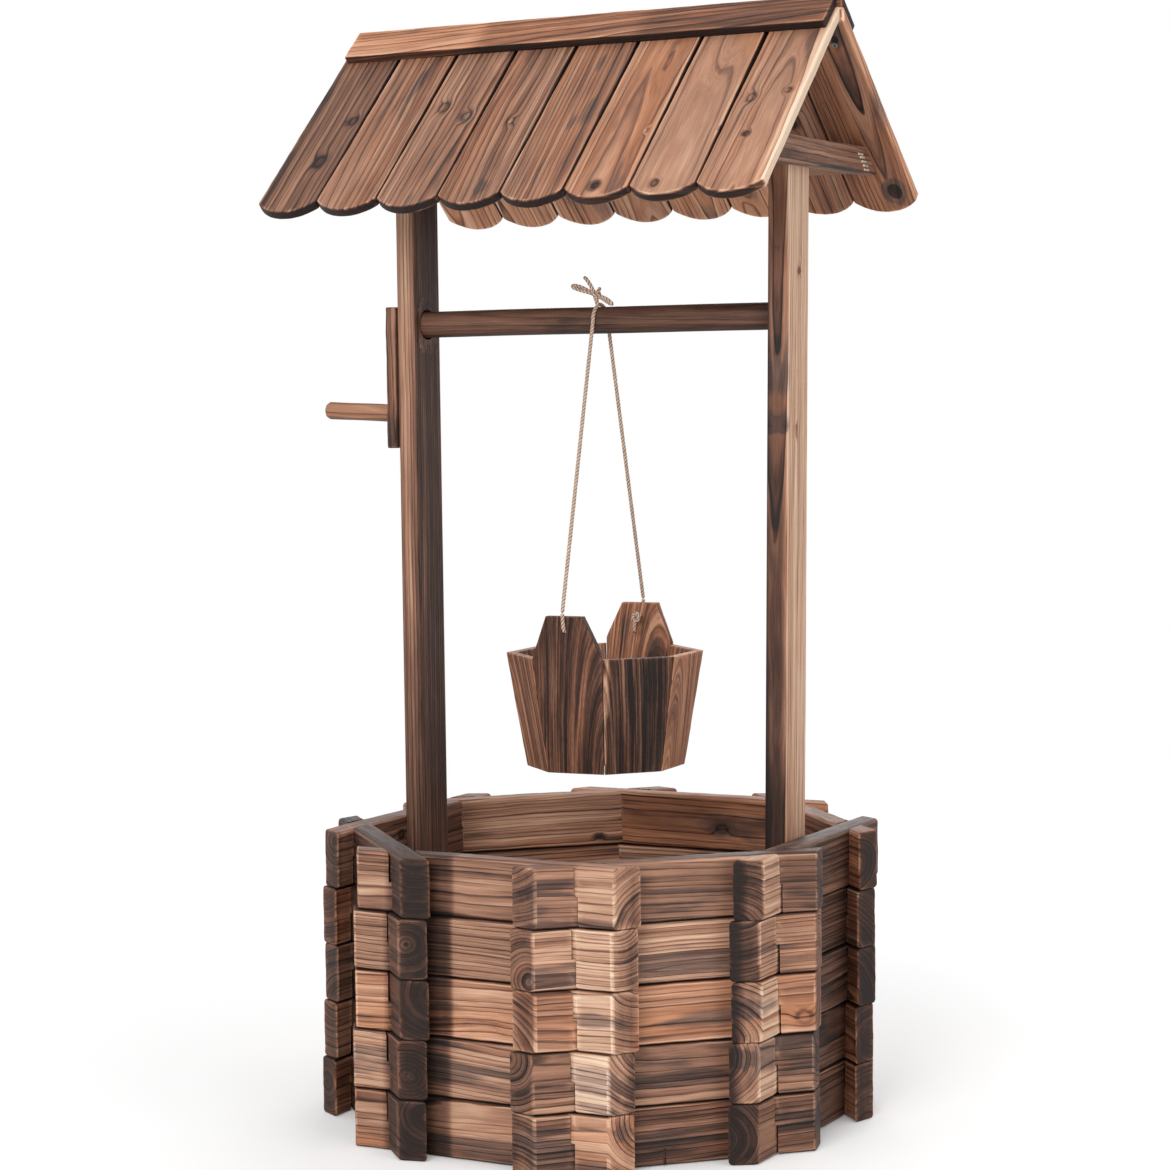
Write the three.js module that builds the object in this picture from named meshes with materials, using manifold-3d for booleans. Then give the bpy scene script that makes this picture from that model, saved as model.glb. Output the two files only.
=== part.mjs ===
// Wishing well planter: an eight-sided well of stacked notched logs, two posts, a gabled roof of
// scalloped boards, a cranked spindle, and a tapered bucket that hangs from it on twine.
// Millimetres, +Z up. X runs along the spindle, the crank is at -X, and the front is -Y.
// The origin is on the ground, under the middle of the well.
import * as THREE from 'three';
import { mergeVertices } from 'three/addons/utils/BufferGeometryUtils.js';
import Module from 'manifold-3d';

// Overall sizes
const ridgeLevel = 1137;
const tieDrop = 167;          // from the ridge to the ties' undersides
const spindleDrop = 147;      // from the ties' undersides to the spindle's axis
const wallApothem = 251;      // from the middle of the well to a wall's outer face
const wallCount = 8;
const courseCount = 5;

// Gaps
const clearance = 0.3;        // between pieces that touch
const lapGap = 0.4;           // around a notch
const overrun = 6;            // how far a cutting body runs past what it cuts

// Logs of the well
const logHeight = 59.5;
const logThickness = 26;
const logEdge = 3;            // bevel along the log's long edges
const stubLength = 40;        // what stands out past the corner, on the outer face
const stubLean = 31;          // degrees, the slant of a log's end

// Floor of the well
const slatThickness = 10;
const slatCount = 6;
const slatGap = 6;
const bearerHeight = 18;
const bearerWidth = 40;
const bearerSpacing = 150;

// Posts
const postThickness = 22.5;
const postWidth = 50;

// Ties across the gables
const tieHeight = 27;
const tieThickness = 18;

// Roof
const roofPitch = 43.5;       // degrees
const roofShift = -4.5;       // the roof sits a little to the crank's side
const boardCount = 8;
const gableOverhang = 40.4;   // from a tie's outer face to the boards' ends
const boardGap = 0.4;
const boardThickness = 10;
const boardRun = 268;         // along the slope, from the ridge line to a board's corners
const scallopDepth = 16;
const scallopSteps = 10;
const purlinWidth = 28;
const purlinDepth = 14;
const purlinRun = 200;        // along the slope, from the ridge line to the purlin's middle
const capWidth = 43;
const capThickness = 9;
const capLength = 554;
const beamWidth = 26;
const beamDepth = 36;
const beamInset = 45;         // from the boards' ends to the ridge beam's ends

// Spindle and crank
const spindleRadius = 14;
const spindleSides = 32;
const holePlay = 2.3;         // radial play of the spindle in the posts
const socketDepth = 14;       // the blind hole in the right post
const crankGap = 5.2;         // from the left post to the crank arm
const crankThickness = 11.8;
const crankWidth = 44;
const crankReach = 131;       // from the spindle's axis to the arm's lower end
const crankHead = 19;         // from the spindle's axis to the arm's upper end
const pegRadius = 9.4;
const pegReach = 94.5;        // from the spindle's axis to the peg's
const pegLength = 99.9;
const pegBevel = 3;
const pegSides = 8;

// Twine
const twineRadius = 2;
const twineSides = 8;
const hangPlace = 6;          // along the spindle, from the middle
const hitchSteps = 12;
const bowLoopLength = 22;
const bowLoopWidth = 12;
const bowTailLength = 20;
const bowLean = 24;           // degrees, how far the bow's loops and tails rise
const bowLoopTurns = [200, -12];      // degrees from the spindle's right end, seen from above
const bowTailTurns = [-70, 125];
const ballSides = 12;
const knotRadius = 6;
const stopperRadius = 6.4;

// Bucket
const rimLevel = 480;
const bucketDepth = 119;
const rimApothem = 95;
const footApothem = 76;
const staveThickness = 9;
const bucketTurn = 4;         // degrees about the hanging twine
const bucketFloorThickness = 9;
const bucketFloorLift = 8;
const earHeight = 44;
const earTopWidth = 40;
const earHoleDrop = 15.5;     // from the ear's top to the hole's middle
const earHoleRadius = 3.2;

const radians = THREE.MathUtils.degToRad;
const tieLevel = ridgeLevel - tieDrop;
const spindleLevel = tieLevel - spindleDrop;
const cornerShare = Math.tan(Math.PI / wallCount);      // half a side of the octagon over its apothem
const cornerTurn = 2 * Math.PI / wallCount;

const wasm = await Module();
wasm.setup();

const wood = (color) => new THREE.MeshStandardMaterial({ color, roughness: 0.75, metalness: 0 });
const tanWood = wood('#a06a4b');
const brownWood = wood('#7d4f3a');
const darkWood = wood('#54392f');
const blackWood = wood('#43302a');
const twine = new THREE.MeshStandardMaterial({ color: '#cdb79a', roughness: 0.9, metalness: 0 });

const planter = new THREE.Group();

// Solids

// A closed mesh as a solid that can be joined and cut
function solidOf(geometry) {
  const bare = geometry.clone();
  bare.deleteAttribute('normal');
  bare.deleteAttribute('uv');
  const merged = mergeVertices(bare);
  const triVerts = Uint32Array.from(merged.index.array);
  const vertProperties = Float32Array.from(merged.attributes.position.array);
  return new wasm.Manifold(new wasm.Mesh({ numProp: 3, vertProperties, triVerts }));
}

// A solid as a flat-shaded geometry
function geometryOf(solid) {
  const { vertProperties, triVerts } = solid.getMesh();
  const geometry = new THREE.BufferGeometry();
  geometry.setAttribute('position', new THREE.BufferAttribute(vertProperties, 3));
  geometry.setIndex(new THREE.BufferAttribute(triVerts, 1));
  const flat = geometry.toNonIndexed();
  flat.computeVertexNormals();
  return flat;
}

function addPiece(parent, name, solid, material) {
  const mesh = new THREE.Mesh(geometryOf(solid), material);
  mesh.name = name;
  parent.add(mesh);
  return mesh;
}

// An outline of [across, up] points, run along X, Y or Z and centred on its length
function prism(points, length, axis) {
  const shape = new THREE.Shape(points.map(([across, up]) => new THREE.Vector2(across, up)));
  const geometry = new THREE.ExtrudeGeometry(shape, { depth: length, bevelEnabled: false });
  geometry.translate(0, 0, -length / 2);
  const alongX = new THREE.Vector3(1, 0, 0);
  const alongY = new THREE.Vector3(0, 1, 0);
  const alongZ = new THREE.Vector3(0, 0, 1);
  const turned = new THREE.Matrix4();
  if (axis === 'x') turned.makeBasis(alongY, alongZ, alongX);
  if (axis === 'y') turned.makeBasis(alongX, alongZ, alongY.negate());
  geometry.applyMatrix4(turned);
  return solidOf(geometry);
}

// A box between two corners
function boxBetween(low, high) {
  const size = high.map((value, axis) => value - low[axis]);
  const middle = high.map((value, axis) => (value + low[axis]) / 2);
  const geometry = new THREE.BoxGeometry(...size);
  geometry.translate(...middle);
  return solidOf(geometry);
}

// A round or many-sided bar along X, between two places on it
function barAlongX(radius, from, to, sides) {
  const geometry = new THREE.CylinderGeometry(radius, radius, to - from, sides);
  geometry.rotateZ(Math.PI / 2);
  geometry.translate((from + to) / 2, 0, 0);
  return solidOf(geometry);
}

// An eight-sided cup shape: its faces stand square to X, Y and the diagonals
function octagonFrustum(lowApothem, highApothem, low, high) {
  const cornerRadius = (apothem) => apothem * Math.hypot(1, cornerShare);
  const top = cornerRadius(highApothem);
  const foot = cornerRadius(lowApothem);
  const geometry = new THREE.CylinderGeometry(top, foot, high - low, wallCount);
  geometry.rotateX(Math.PI / 2);
  geometry.rotateZ(cornerTurn / 2);
  geometry.translate(0, 0, (low + high) / 2);
  return solidOf(geometry);
}

// Logs of the well

const stubEnd = wallApothem * cornerShare + stubLength;
const stubSlope = Math.tan(radians(stubLean));
const wallInside = wallApothem - logThickness;

// Half the log's length at a distance from the middle of the well
const logReach = (distance) => stubEnd + (wallApothem - distance) * stubSlope;

// A log of the wall that faces +X, standing on z = 0. Seen from outside, its right end laps over the
// next wall's log and is notched from below, and its left end lies under and is notched from above.
function makeLog() {
  const section = [
    [wallInside, logEdge], [wallInside + logEdge, 0],
    [wallApothem - logEdge, 0], [wallApothem, logEdge],
    [wallApothem, logHeight - logEdge], [wallApothem - logEdge, logHeight],
    [wallInside + logEdge, logHeight], [wallInside, logHeight - logEdge],
  ];
  const outer = wallApothem + overrun;
  const inner = wallInside - overrun;
  const plan = [
    [outer, -logReach(outer)], [outer, logReach(outer)],
    [inner, logReach(inner)], [inner, -logReach(inner)],
  ];
  const longest = 2 * (logReach(inner) + overrun);
  const bar = prism(section, longest, 'y');
  const outline = prism(plan, 3 * logHeight, 'z');
  const middle = logHeight / 2;
  const notchBetween = (low, high) => boxBetween(
    [wallInside - lapGap, -longest / 2, low],
    [wallApothem + lapGap, longest / 2, high],
  );
  const fromBelow = notchBetween(-overrun, middle + lapGap / 2);
  const fromAbove = notchBetween(middle - lapGap / 2, logHeight + overrun);
  const turn = THREE.MathUtils.radToDeg(cornerTurn);
  return bar.intersect(outline)
    .subtract(fromBelow.rotate([0, 0, turn]))
    .subtract(fromAbove.rotate([0, 0, -turn]));
}

function addWell() {
  const names = ['right', 'back_right', 'back', 'back_left', 'left', 'front_left', 'front', 'front_right'];
  const log = makeLog();
  names.forEach((name, place) => {
    const wall = new THREE.Group();
    wall.rotation.z = place * cornerTurn;
    planter.add(wall);
    for (let course = 0; course < courseCount; course += 1) {
      const tone = [tanWood, brownWood, darkWood][(place + 2 * course) % 3];
      const mesh = addPiece(wall, `wall_${name}_log_${course + 1}`, log, tone);
      mesh.position.z = course * (logHeight + clearance);
    }
  });
}

// Floor of the well: slats along X on three bearers along Y, all inside the lowest course

const floorTop = bearerHeight + slatThickness;
const floorApothem = wallInside - clearance;

function addFloor() {
  const inside = octagonFrustum(floorApothem, floorApothem, 0, floorTop);
  const slatWidth = (2 * floorApothem - (slatCount - 1) * slatGap) / slatCount;
  let frame = null;
  for (const place of [-bearerSpacing, 0, bearerSpacing]) {
    const bearer = boxBetween(
      [place - bearerWidth / 2, -floorApothem, 0],
      [place + bearerWidth / 2, floorApothem, bearerHeight + slatThickness / 2],
    );
    frame = frame ? frame.add(bearer) : bearer;
  }
  // Between two slats a bearer shows only up to the slats' underside
  for (let slat = 0; slat < slatCount; slat += 1) {
    const from = -floorApothem + slat * (slatWidth + slatGap);
    const slatAt = (near, far) => {
      const corner = [-floorApothem, near, bearerHeight];
      return boxBetween(corner, [floorApothem, far, floorTop]);
    };
    frame = frame.add(slatAt(from, from + slatWidth));
    if (slat > 0) frame = frame.subtract(slatAt(from - slatGap, from));
  }
  addPiece(planter, 'base_floor', frame.intersect(inside), brownWood);
}

// Posts: their outer faces lie on the inside of the two walls that face +X and -X

const postOuter = wallInside - clearance;
const postInner = postOuter - postThickness;
const tieTop = tieLevel + tieHeight;

function addPosts() {
  const bottom = floorTop + clearance;
  const plain = (side) => boxBetween(
    [Math.min(side * postInner, side * postOuter), -postWidth / 2, bottom],
    [Math.max(side * postInner, side * postOuter), postWidth / 2, tieTop],
  );
  const holeRadius = spindleRadius + holePlay;
  const through = barAlongX(holeRadius, -postOuter - overrun, -postInner + overrun, spindleSides);
  const blind = barAlongX(holeRadius, postInner - overrun, postInner + socketDepth, spindleSides);
  addPiece(planter, 'post_left', plain(-1).subtract(through.translate([0, 0, spindleLevel])), brownWood);
  addPiece(planter, 'post_right', plain(1).subtract(blind.translate([0, 0, spindleLevel])), tanWood);
}

// Roof

const pitch = radians(roofPitch);
const boardsTop = capThickness + clearance;             // both measured square to the slope,
const boardsUnder = boardsTop + boardThickness;         // down from the caps' outer face
const underApex = ridgeLevel - (boardsUnder + clearance) / Math.cos(pitch);
const roofLength = 2 * (postOuter + clearance + tieThickness + gableOverhang);
const boardWidth = (roofLength - (boardCount - 1) * boardGap) / boardCount;

// Half the space between the boards' undersides at a level
const underHalf = (level) => (underApex - level) / Math.tan(pitch);

// Lays a flat piece, drawn with the ridge along y = 0, on the slope at -Y (side -1) or +Y (side 1),
// and cuts it where the two slopes meet
function layOnSlope(flat, side) {
  const laid = flat.rotate([-side * roofPitch, 0, 0]).translate([0, 0, ridgeLevel]);
  const past = ridgeLevel;
  const otherSlope = boxBetween(
    [-past, side > 0 ? -past : -clearance / 2, -past],
    [past, side > 0 ? clearance / 2 : past, 2 * past],
  );
  return laid.subtract(otherSlope);
}

// One roof board lying flat: straight sides, and a round end that swells past its corners
function makeBoard(middle, side) {
  const half = boardWidth / 2;
  const arcRadius = (half * half + scallopDepth * scallopDepth) / (2 * scallopDepth);
  const arcCentre = boardRun + scallopDepth - arcRadius;
  const halfAngle = Math.asin(half / arcRadius);
  const points = [[middle + half, -side * overrun], [middle - half, -side * overrun]];
  for (let step = 0; step <= scallopSteps; step += 1) {
    const angle = halfAngle * (2 * step / scallopSteps - 1);
    points.push([middle + arcRadius * Math.sin(angle), side * (arcCentre + arcRadius * Math.cos(angle))]);
  }
  return prism(points, boardThickness, 'z').translate([0, 0, -boardsTop - boardThickness / 2]);
}

function addRoofSlope(name, side) {
  // The purlin's middle line, square to the slope, and its ends, which meet the ties
  const purlinEnd = postOuter;
  const low = side * purlinRun - purlinWidth / 2;
  let panel = boxBetween(
    [-purlinEnd, low, -boardsUnder - purlinDepth],
    [purlinEnd, low + purlinWidth, -boardsUnder + boardThickness / 2],
  );
  const firstMiddle = roofShift - roofLength / 2 + boardWidth / 2;
  for (let board = 0; board < boardCount; board += 1) {
    const middle = firstMiddle + board * (boardWidth + boardGap);
    panel = panel.add(makeBoard(middle, side));
    if (board > 0) {
      // The purlin stays out of the slit between two boards
      const slit = middle - boardWidth / 2;
      panel = panel.subtract(boxBetween(
        [slit - boardGap, low - overrun, -boardsUnder],
        [slit, low + purlinWidth + overrun, -boardsTop + overrun],
      ));
    }
  }
  addPiece(planter, name, layOnSlope(panel, side), tanWood);
}

function addRidgeCap(name, side) {
  const start = roofShift - capLength / 2;
  const edge = side * capWidth;
  const inward = -side * overrun * 2;
  const cap = boxBetween(
    [start, Math.min(edge, inward), -capThickness],
    [start + capLength, Math.max(edge, inward), 0],
  );
  addPiece(planter, name, layOnSlope(cap, side), brownWood);
}

// The ridge beam fills the apex under the boards
function addRidgeBeam() {
  const half = beamWidth / 2;
  const shoulder = underApex - half * Math.tan(pitch);
  const bottom = underApex - beamDepth;
  const outline = [[0, underApex], [-half, shoulder], [-half, bottom], [half, bottom], [half, shoulder]];
  const beam = prism(outline, roofLength - 2 * beamInset, 'x').translate([roofShift, 0, 0]);
  addPiece(planter, 'ridge_beam', beam, darkWood);
}

// A tie lies on a post's outer face, and its slanted ends meet the boards
function addTie(name, side) {
  const outline = [
    [-underHalf(tieLevel), tieLevel], [underHalf(tieLevel), tieLevel],
    [underHalf(tieTop), tieTop], [-underHalf(tieTop), tieTop],
  ];
  const middle = side * (postOuter + clearance + tieThickness / 2);
  addPiece(planter, name, prism(outline, tieThickness, 'x').translate([middle, 0, 0]), darkWood);
}

// Spindle and crank, drawn around the spindle's axis

const crankInner = -postOuter - crankGap;
const crankOuter = crankInner - crankThickness;

function addWinder() {
  const winder = new THREE.Group();
  winder.position.z = spindleLevel;
  planter.add(winder);
  const rightEnd = postInner + socketDepth - clearance;
  addPiece(winder, 'spindle', barAlongX(spindleRadius, crankOuter, rightEnd, spindleSides), brownWood);

  const holeStart = crankOuter - overrun;
  const holeEnd = crankInner + overrun;
  const spindleHole = barAlongX(spindleRadius + clearance, holeStart, holeEnd, spindleSides);
  const pegHole = barAlongX(pegRadius + clearance, holeStart, holeEnd, pegSides);
  const arm = boxBetween([crankOuter, -crankWidth / 2, -crankReach], [crankInner, crankWidth / 2, crankHead])
    .subtract(spindleHole)
    .subtract(pegHole.translate([0, 0, -pegReach]));
  addPiece(winder, 'crank_arm', arm, brownWood);

  // The peg is whittled to eight sides, with a bevelled outer end
  const profile = [
    [0, 0], [pegRadius, 0], [pegRadius, pegLength - pegBevel],
    [pegRadius - pegBevel, pegLength], [0, pegLength],
  ];
  const lathe = new THREE.LatheGeometry(profile.map(([out, up]) => new THREE.Vector2(out, up)), pegSides);
  lathe.rotateZ(Math.PI / 2);
  lathe.translate(crankInner, 0, -pegReach);
  addPiece(winder, 'crank_peg', solidOf(lathe), tanWood);
}

// Bucket, drawn around its rim's middle

const bucketLean = (rimApothem - footApothem) / bucketDepth;         // outward run over rise
const outerAt = (level) => rimApothem + level * bucketLean;
const staveRun = staveThickness * Math.hypot(1, bucketLean);         // a stave's thickness along the level
const innerAt = (level) => outerAt(level) - staveRun;
const earHoleLevel = earHeight - earHoleDrop;

function addBucket() {
  const bucket = new THREE.Group();
  bucket.position.set(hangPlace, 0, rimLevel);
  bucket.rotation.z = radians(bucketTurn);
  planter.add(bucket);

  const low = -bucketDepth;
  const past = earHeight + overrun;
  const under = low - overrun;
  const above = past + overrun;
  const outside = octagonFrustum(outerAt(low), outerAt(past), low, past);
  const hollow = octagonFrustum(innerAt(under), innerAt(above), under, above);
  const wide = 2 * outerAt(past);
  const earFoot = rimApothem * cornerShare;
  const ears = prism([
    [-wide, under], [wide, under], [wide, 0], [earFoot, 0],
    [earTopWidth / 2, earHeight], [-earTopWidth / 2, earHeight], [-earFoot, 0], [-wide, 0],
  ], 2 * wide, 'y');
  const hole = barAlongX(earHoleRadius, -wide, wide, twineSides);
  const holes = hole.rotate([0, 0, 90]).translate([0, 0, earHoleLevel]);
  addPiece(bucket, 'bucket_staves', outside.subtract(hollow).intersect(ears).subtract(holes), blackWood);

  const floorLow = low + bucketFloorLift;
  const floorHigh = floorLow + bucketFloorThickness;
  const floorFit = (level) => innerAt(level) - clearance;
  const floor = octagonFrustum(floorFit(floorLow), floorFit(floorHigh), floorLow, floorHigh);
  addPiece(bucket, 'bucket_floor', floor, darkWood);

  // The twine passes through each ear and ends in a knot inside it
  const mouth = outerAt(earHoleLevel) + 2 * twineRadius + clearance;
  const inside = innerAt(earHoleLevel);
  const knotMiddle = inside - stopperRadius * Math.hypot(1, bucketLean) - clearance;
  for (const [name, side] of [['rope_stopper_front', -1], ['rope_stopper_back', 1]]) {
    const ball = solidOf(new THREE.SphereGeometry(stopperRadius, ballSides, ballSides / 2));
    const shank = barAlongX(twineRadius, knotMiddle, mouth, twineSides);
    const stopper = ball.translate([knotMiddle, 0, 0]).add(shank);
    addPiece(bucket, name, stopper.rotate([0, 0, side * 90]).translate([0, 0, earHoleLevel]), twine);
  }
}

// Twine: a hitch over the spindle with a bow on top, and a strand down to each ear

const hitchRadius = spindleRadius + clearance + twineRadius;

// A round strand between two points
function strandBetween(from, to) {
  const along = new THREE.Vector3().subVectors(to, from);
  const geometry = new THREE.CylinderGeometry(twineRadius, twineRadius, along.length(), twineSides);
  const up = new THREE.Vector3(0, 1, 0);
  geometry.applyQuaternion(new THREE.Quaternion().setFromUnitVectors(up, along.clone().normalize()));
  const middle = new THREE.Vector3().addVectors(from, to).multiplyScalar(1 / 2);
  geometry.translate(middle.x, middle.y, middle.z);
  return solidOf(geometry);
}

// A point beside the front (side -1) or back (side 1) ear, given out from the hanging line
// and up from the rim
function besideEar(side, out, level) {
  const point = new THREE.Vector3(0, side * out, rimLevel + level);
  point.applyAxisAngle(new THREE.Vector3(0, 0, 1), radians(bucketTurn));
  point.x += hangPlace;
  return point;
}

// Each strand runs straight to the ear's top edge, bends over it and follows the ear to its hole
function addStrands() {
  const besideFace = twineRadius * Math.hypot(1, bucketLean) + clearance;
  const edgeOut = outerAt(earHeight + twineRadius) + besideFace;
  const footLevel = earHoleLevel + twineRadius * (1 + bucketLean) + clearance;
  const lean = Math.atan((edgeOut - hitchRadius) / (spindleLevel - rimLevel - earHeight));
  const tipped = twineRadius * Math.sin(lean);          // how far a slanted end's edge dips
  for (const [name, side] of [['rope_strand_front', -1], ['rope_strand_back', 1]]) {
    const head = new THREE.Vector3(hangPlace, side * hitchRadius, spindleLevel - clearance - tipped);
    const bend = besideEar(side, edgeOut, earHeight + twineRadius);
    const foot = besideEar(side, outerAt(footLevel) + besideFace, footLevel);
    const elbow = solidOf(new THREE.SphereGeometry(twineRadius, twineSides, twineSides / 2));
    const strand = strandBetween(head, bend)
      .add(elbow.translate(bend.toArray()))
      .add(strandBetween(bend, foot));
    addPiece(planter, name, strand, twine);
  }
}

// One loop of the bow: a closed ring of twine, long and narrow, that starts at the knot and points
// the way given in degrees
function bowLoop(turn) {
  const ring = new THREE.TorusGeometry(bowLoopWidth / 2, twineRadius, twineSides, hitchSteps);
  const stretchShare = bowLoopLength / bowLoopWidth;
  ring.scale(stretchShare, 1, 1);
  ring.translate(bowLoopLength / 2, 0, 0);
  return solidOf(ring).rotate([0, -bowLean, turn]);
}

function addHitch() {
  const over = new THREE.CatmullRomCurve3(Array.from({ length: hitchSteps + 1 }, (_, step) => {
    const angle = Math.PI * step / hitchSteps;
    return new THREE.Vector3(0, -hitchRadius * Math.cos(angle), hitchRadius * Math.sin(angle));
  }));
  const section = new THREE.Shape(Array.from({ length: twineSides }, (_, corner) => {
    const angle = 2 * Math.PI * corner / twineSides;
    return new THREE.Vector2(twineRadius * Math.cos(angle), twineRadius * Math.sin(angle));
  }));
  const options = { steps: hitchSteps, bevelEnabled: false, extrudePath: over };
  const arch = new THREE.ExtrudeGeometry(section, options);
  // Each end of the arch stops level with the spindle's axis
  const level = boxBetween(
    [-hitchRadius, -2 * hitchRadius, 0],
    [hitchRadius, 2 * hitchRadius, 2 * hitchRadius],
  );
  const knotLevel = hitchRadius - twineRadius + knotRadius;
  const tail = strandBetween(new THREE.Vector3(), new THREE.Vector3(bowTailLength, 0, 0));
  let knot = solidOf(new THREE.SphereGeometry(knotRadius, ballSides, ballSides / 2));
  for (const turn of bowLoopTurns) knot = knot.add(bowLoop(turn));
  for (const turn of bowTailTurns) knot = knot.add(tail.rotate([0, -bowLean, turn]));
  const hitch = solidOf(arch).intersect(level).add(knot.translate([0, 0, knotLevel]));
  const mesh = addPiece(planter, 'rope_hitch', hitch, twine);
  mesh.position.set(hangPlace, 0, spindleLevel);
}

addWell();
addFloor();
addPosts();
addRoofSlope('roof_slope_front', -1);
addRoofSlope('roof_slope_back', 1);
addRidgeCap('ridge_cap_front', -1);
addRidgeCap('ridge_cap_back', 1);
addRidgeBeam();
addTie('collar_tie_left', -1);
addTie('collar_tie_right', 1);
addWinder();
addBucket();
addStrands();
addHitch();

export default planter;
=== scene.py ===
# Wishing well planter: its looks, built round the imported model. Metres, +Z up, front at -Y.
import math

import bmesh
import bpy
import numpy as np
from mathutils import Matrix


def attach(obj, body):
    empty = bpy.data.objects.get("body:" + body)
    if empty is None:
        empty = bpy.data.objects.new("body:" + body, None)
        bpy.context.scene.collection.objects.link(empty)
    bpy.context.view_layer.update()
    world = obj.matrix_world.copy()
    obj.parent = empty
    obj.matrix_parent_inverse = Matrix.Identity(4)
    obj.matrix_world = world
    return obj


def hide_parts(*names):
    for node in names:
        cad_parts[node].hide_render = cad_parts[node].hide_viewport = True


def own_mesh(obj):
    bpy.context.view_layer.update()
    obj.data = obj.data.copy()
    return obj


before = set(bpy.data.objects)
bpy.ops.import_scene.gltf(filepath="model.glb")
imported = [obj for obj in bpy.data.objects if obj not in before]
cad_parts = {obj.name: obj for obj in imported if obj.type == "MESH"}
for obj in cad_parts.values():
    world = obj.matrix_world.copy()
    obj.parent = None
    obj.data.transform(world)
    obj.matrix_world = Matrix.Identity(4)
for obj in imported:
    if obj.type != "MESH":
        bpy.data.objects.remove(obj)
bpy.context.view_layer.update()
scene = bpy.context.scene
scene.view_settings.view_transform = "Standard"
print("frame:", len(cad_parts), "nodes")


# Camera, lights, floor

camera = {
    "lens": 89.74,                     # on a sensor 36 wide
    "place": (1.4153, -2.6752, 0.7532),
    "yaw": 28.15,                      # to the right of the front
    "down": 3.86,
    "roll": -0.76,
}
cameraData = bpy.data.cameras.new("camera")
cameraData.lens = camera["lens"]
cameraData.sensor_width = 36
cameraData.clip_end = 30
cameraObject = bpy.data.objects.new("camera", cameraData)
scene.collection.objects.link(cameraObject)
cameraObject.matrix_world = (
    Matrix.Translation(camera["place"])
    @ Matrix.Rotation(math.radians(camera["yaw"]), 4, "Z")
    @ Matrix.Rotation(math.radians(90 - camera["down"]), 4, "X")
    @ Matrix.Rotation(math.radians(camera["roll"]), 4, "Z")
)
scene.camera = cameraObject

# Each lamp: degrees round from the front, degrees up, distance, side in metres, watts
lamps = {
    "key": (8, 22, 3.4, 1.7, 62),
    "fill": (66, 14, 3.4, 2.0, 22),
    "above": (150, 78, 3.0, 2.4, 16),
    "back": (195, 20, 3.4, 2.4, 40),
}
lampTarget = np.array([0, 0, 0.55])
for lampName, (around, up, distance, side, watts) in lamps.items():
    lampData = bpy.data.lights.new(lampName, "AREA")
    lampData.size = side
    lampData.energy = watts
    lamp = bpy.data.objects.new(lampName, lampData)
    scene.collection.objects.link(lamp)
    turn = Matrix.Rotation(math.radians(around), 4, "Z") @ Matrix.Rotation(math.radians(90 - up), 4, "X")
    lamp.matrix_world = Matrix.Translation(lampTarget) @ turn @ Matrix.Translation((0, 0, distance))


# Materials: one class for sockets, one for a material's nodes

class Socket:
    # A node's output. Arithmetic on it adds Math nodes.
    def __init__(self, finish, output):
        self.finish = finish
        self.output = output

    def maths(self, operation, *values):
        return self.finish.node("ShaderNodeMath", {"operation": operation}, dict(enumerate(values)))

    def __add__(self, other):
        return self.maths("ADD", self, other)

    def __radd__(self, other):
        return self.maths("ADD", other, self)

    def __sub__(self, other):
        return self.maths("SUBTRACT", self, other)

    def __rsub__(self, other):
        return self.maths("SUBTRACT", other, self)

    def __mul__(self, other):
        return self.maths("MULTIPLY", self, other)

    def __rmul__(self, other):
        return self.maths("MULTIPLY", other, self)

    def __truediv__(self, other):
        return self.maths("DIVIDE", self, other)

    def __pow__(self, other):
        return self.maths("POWER", self, other)


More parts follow.
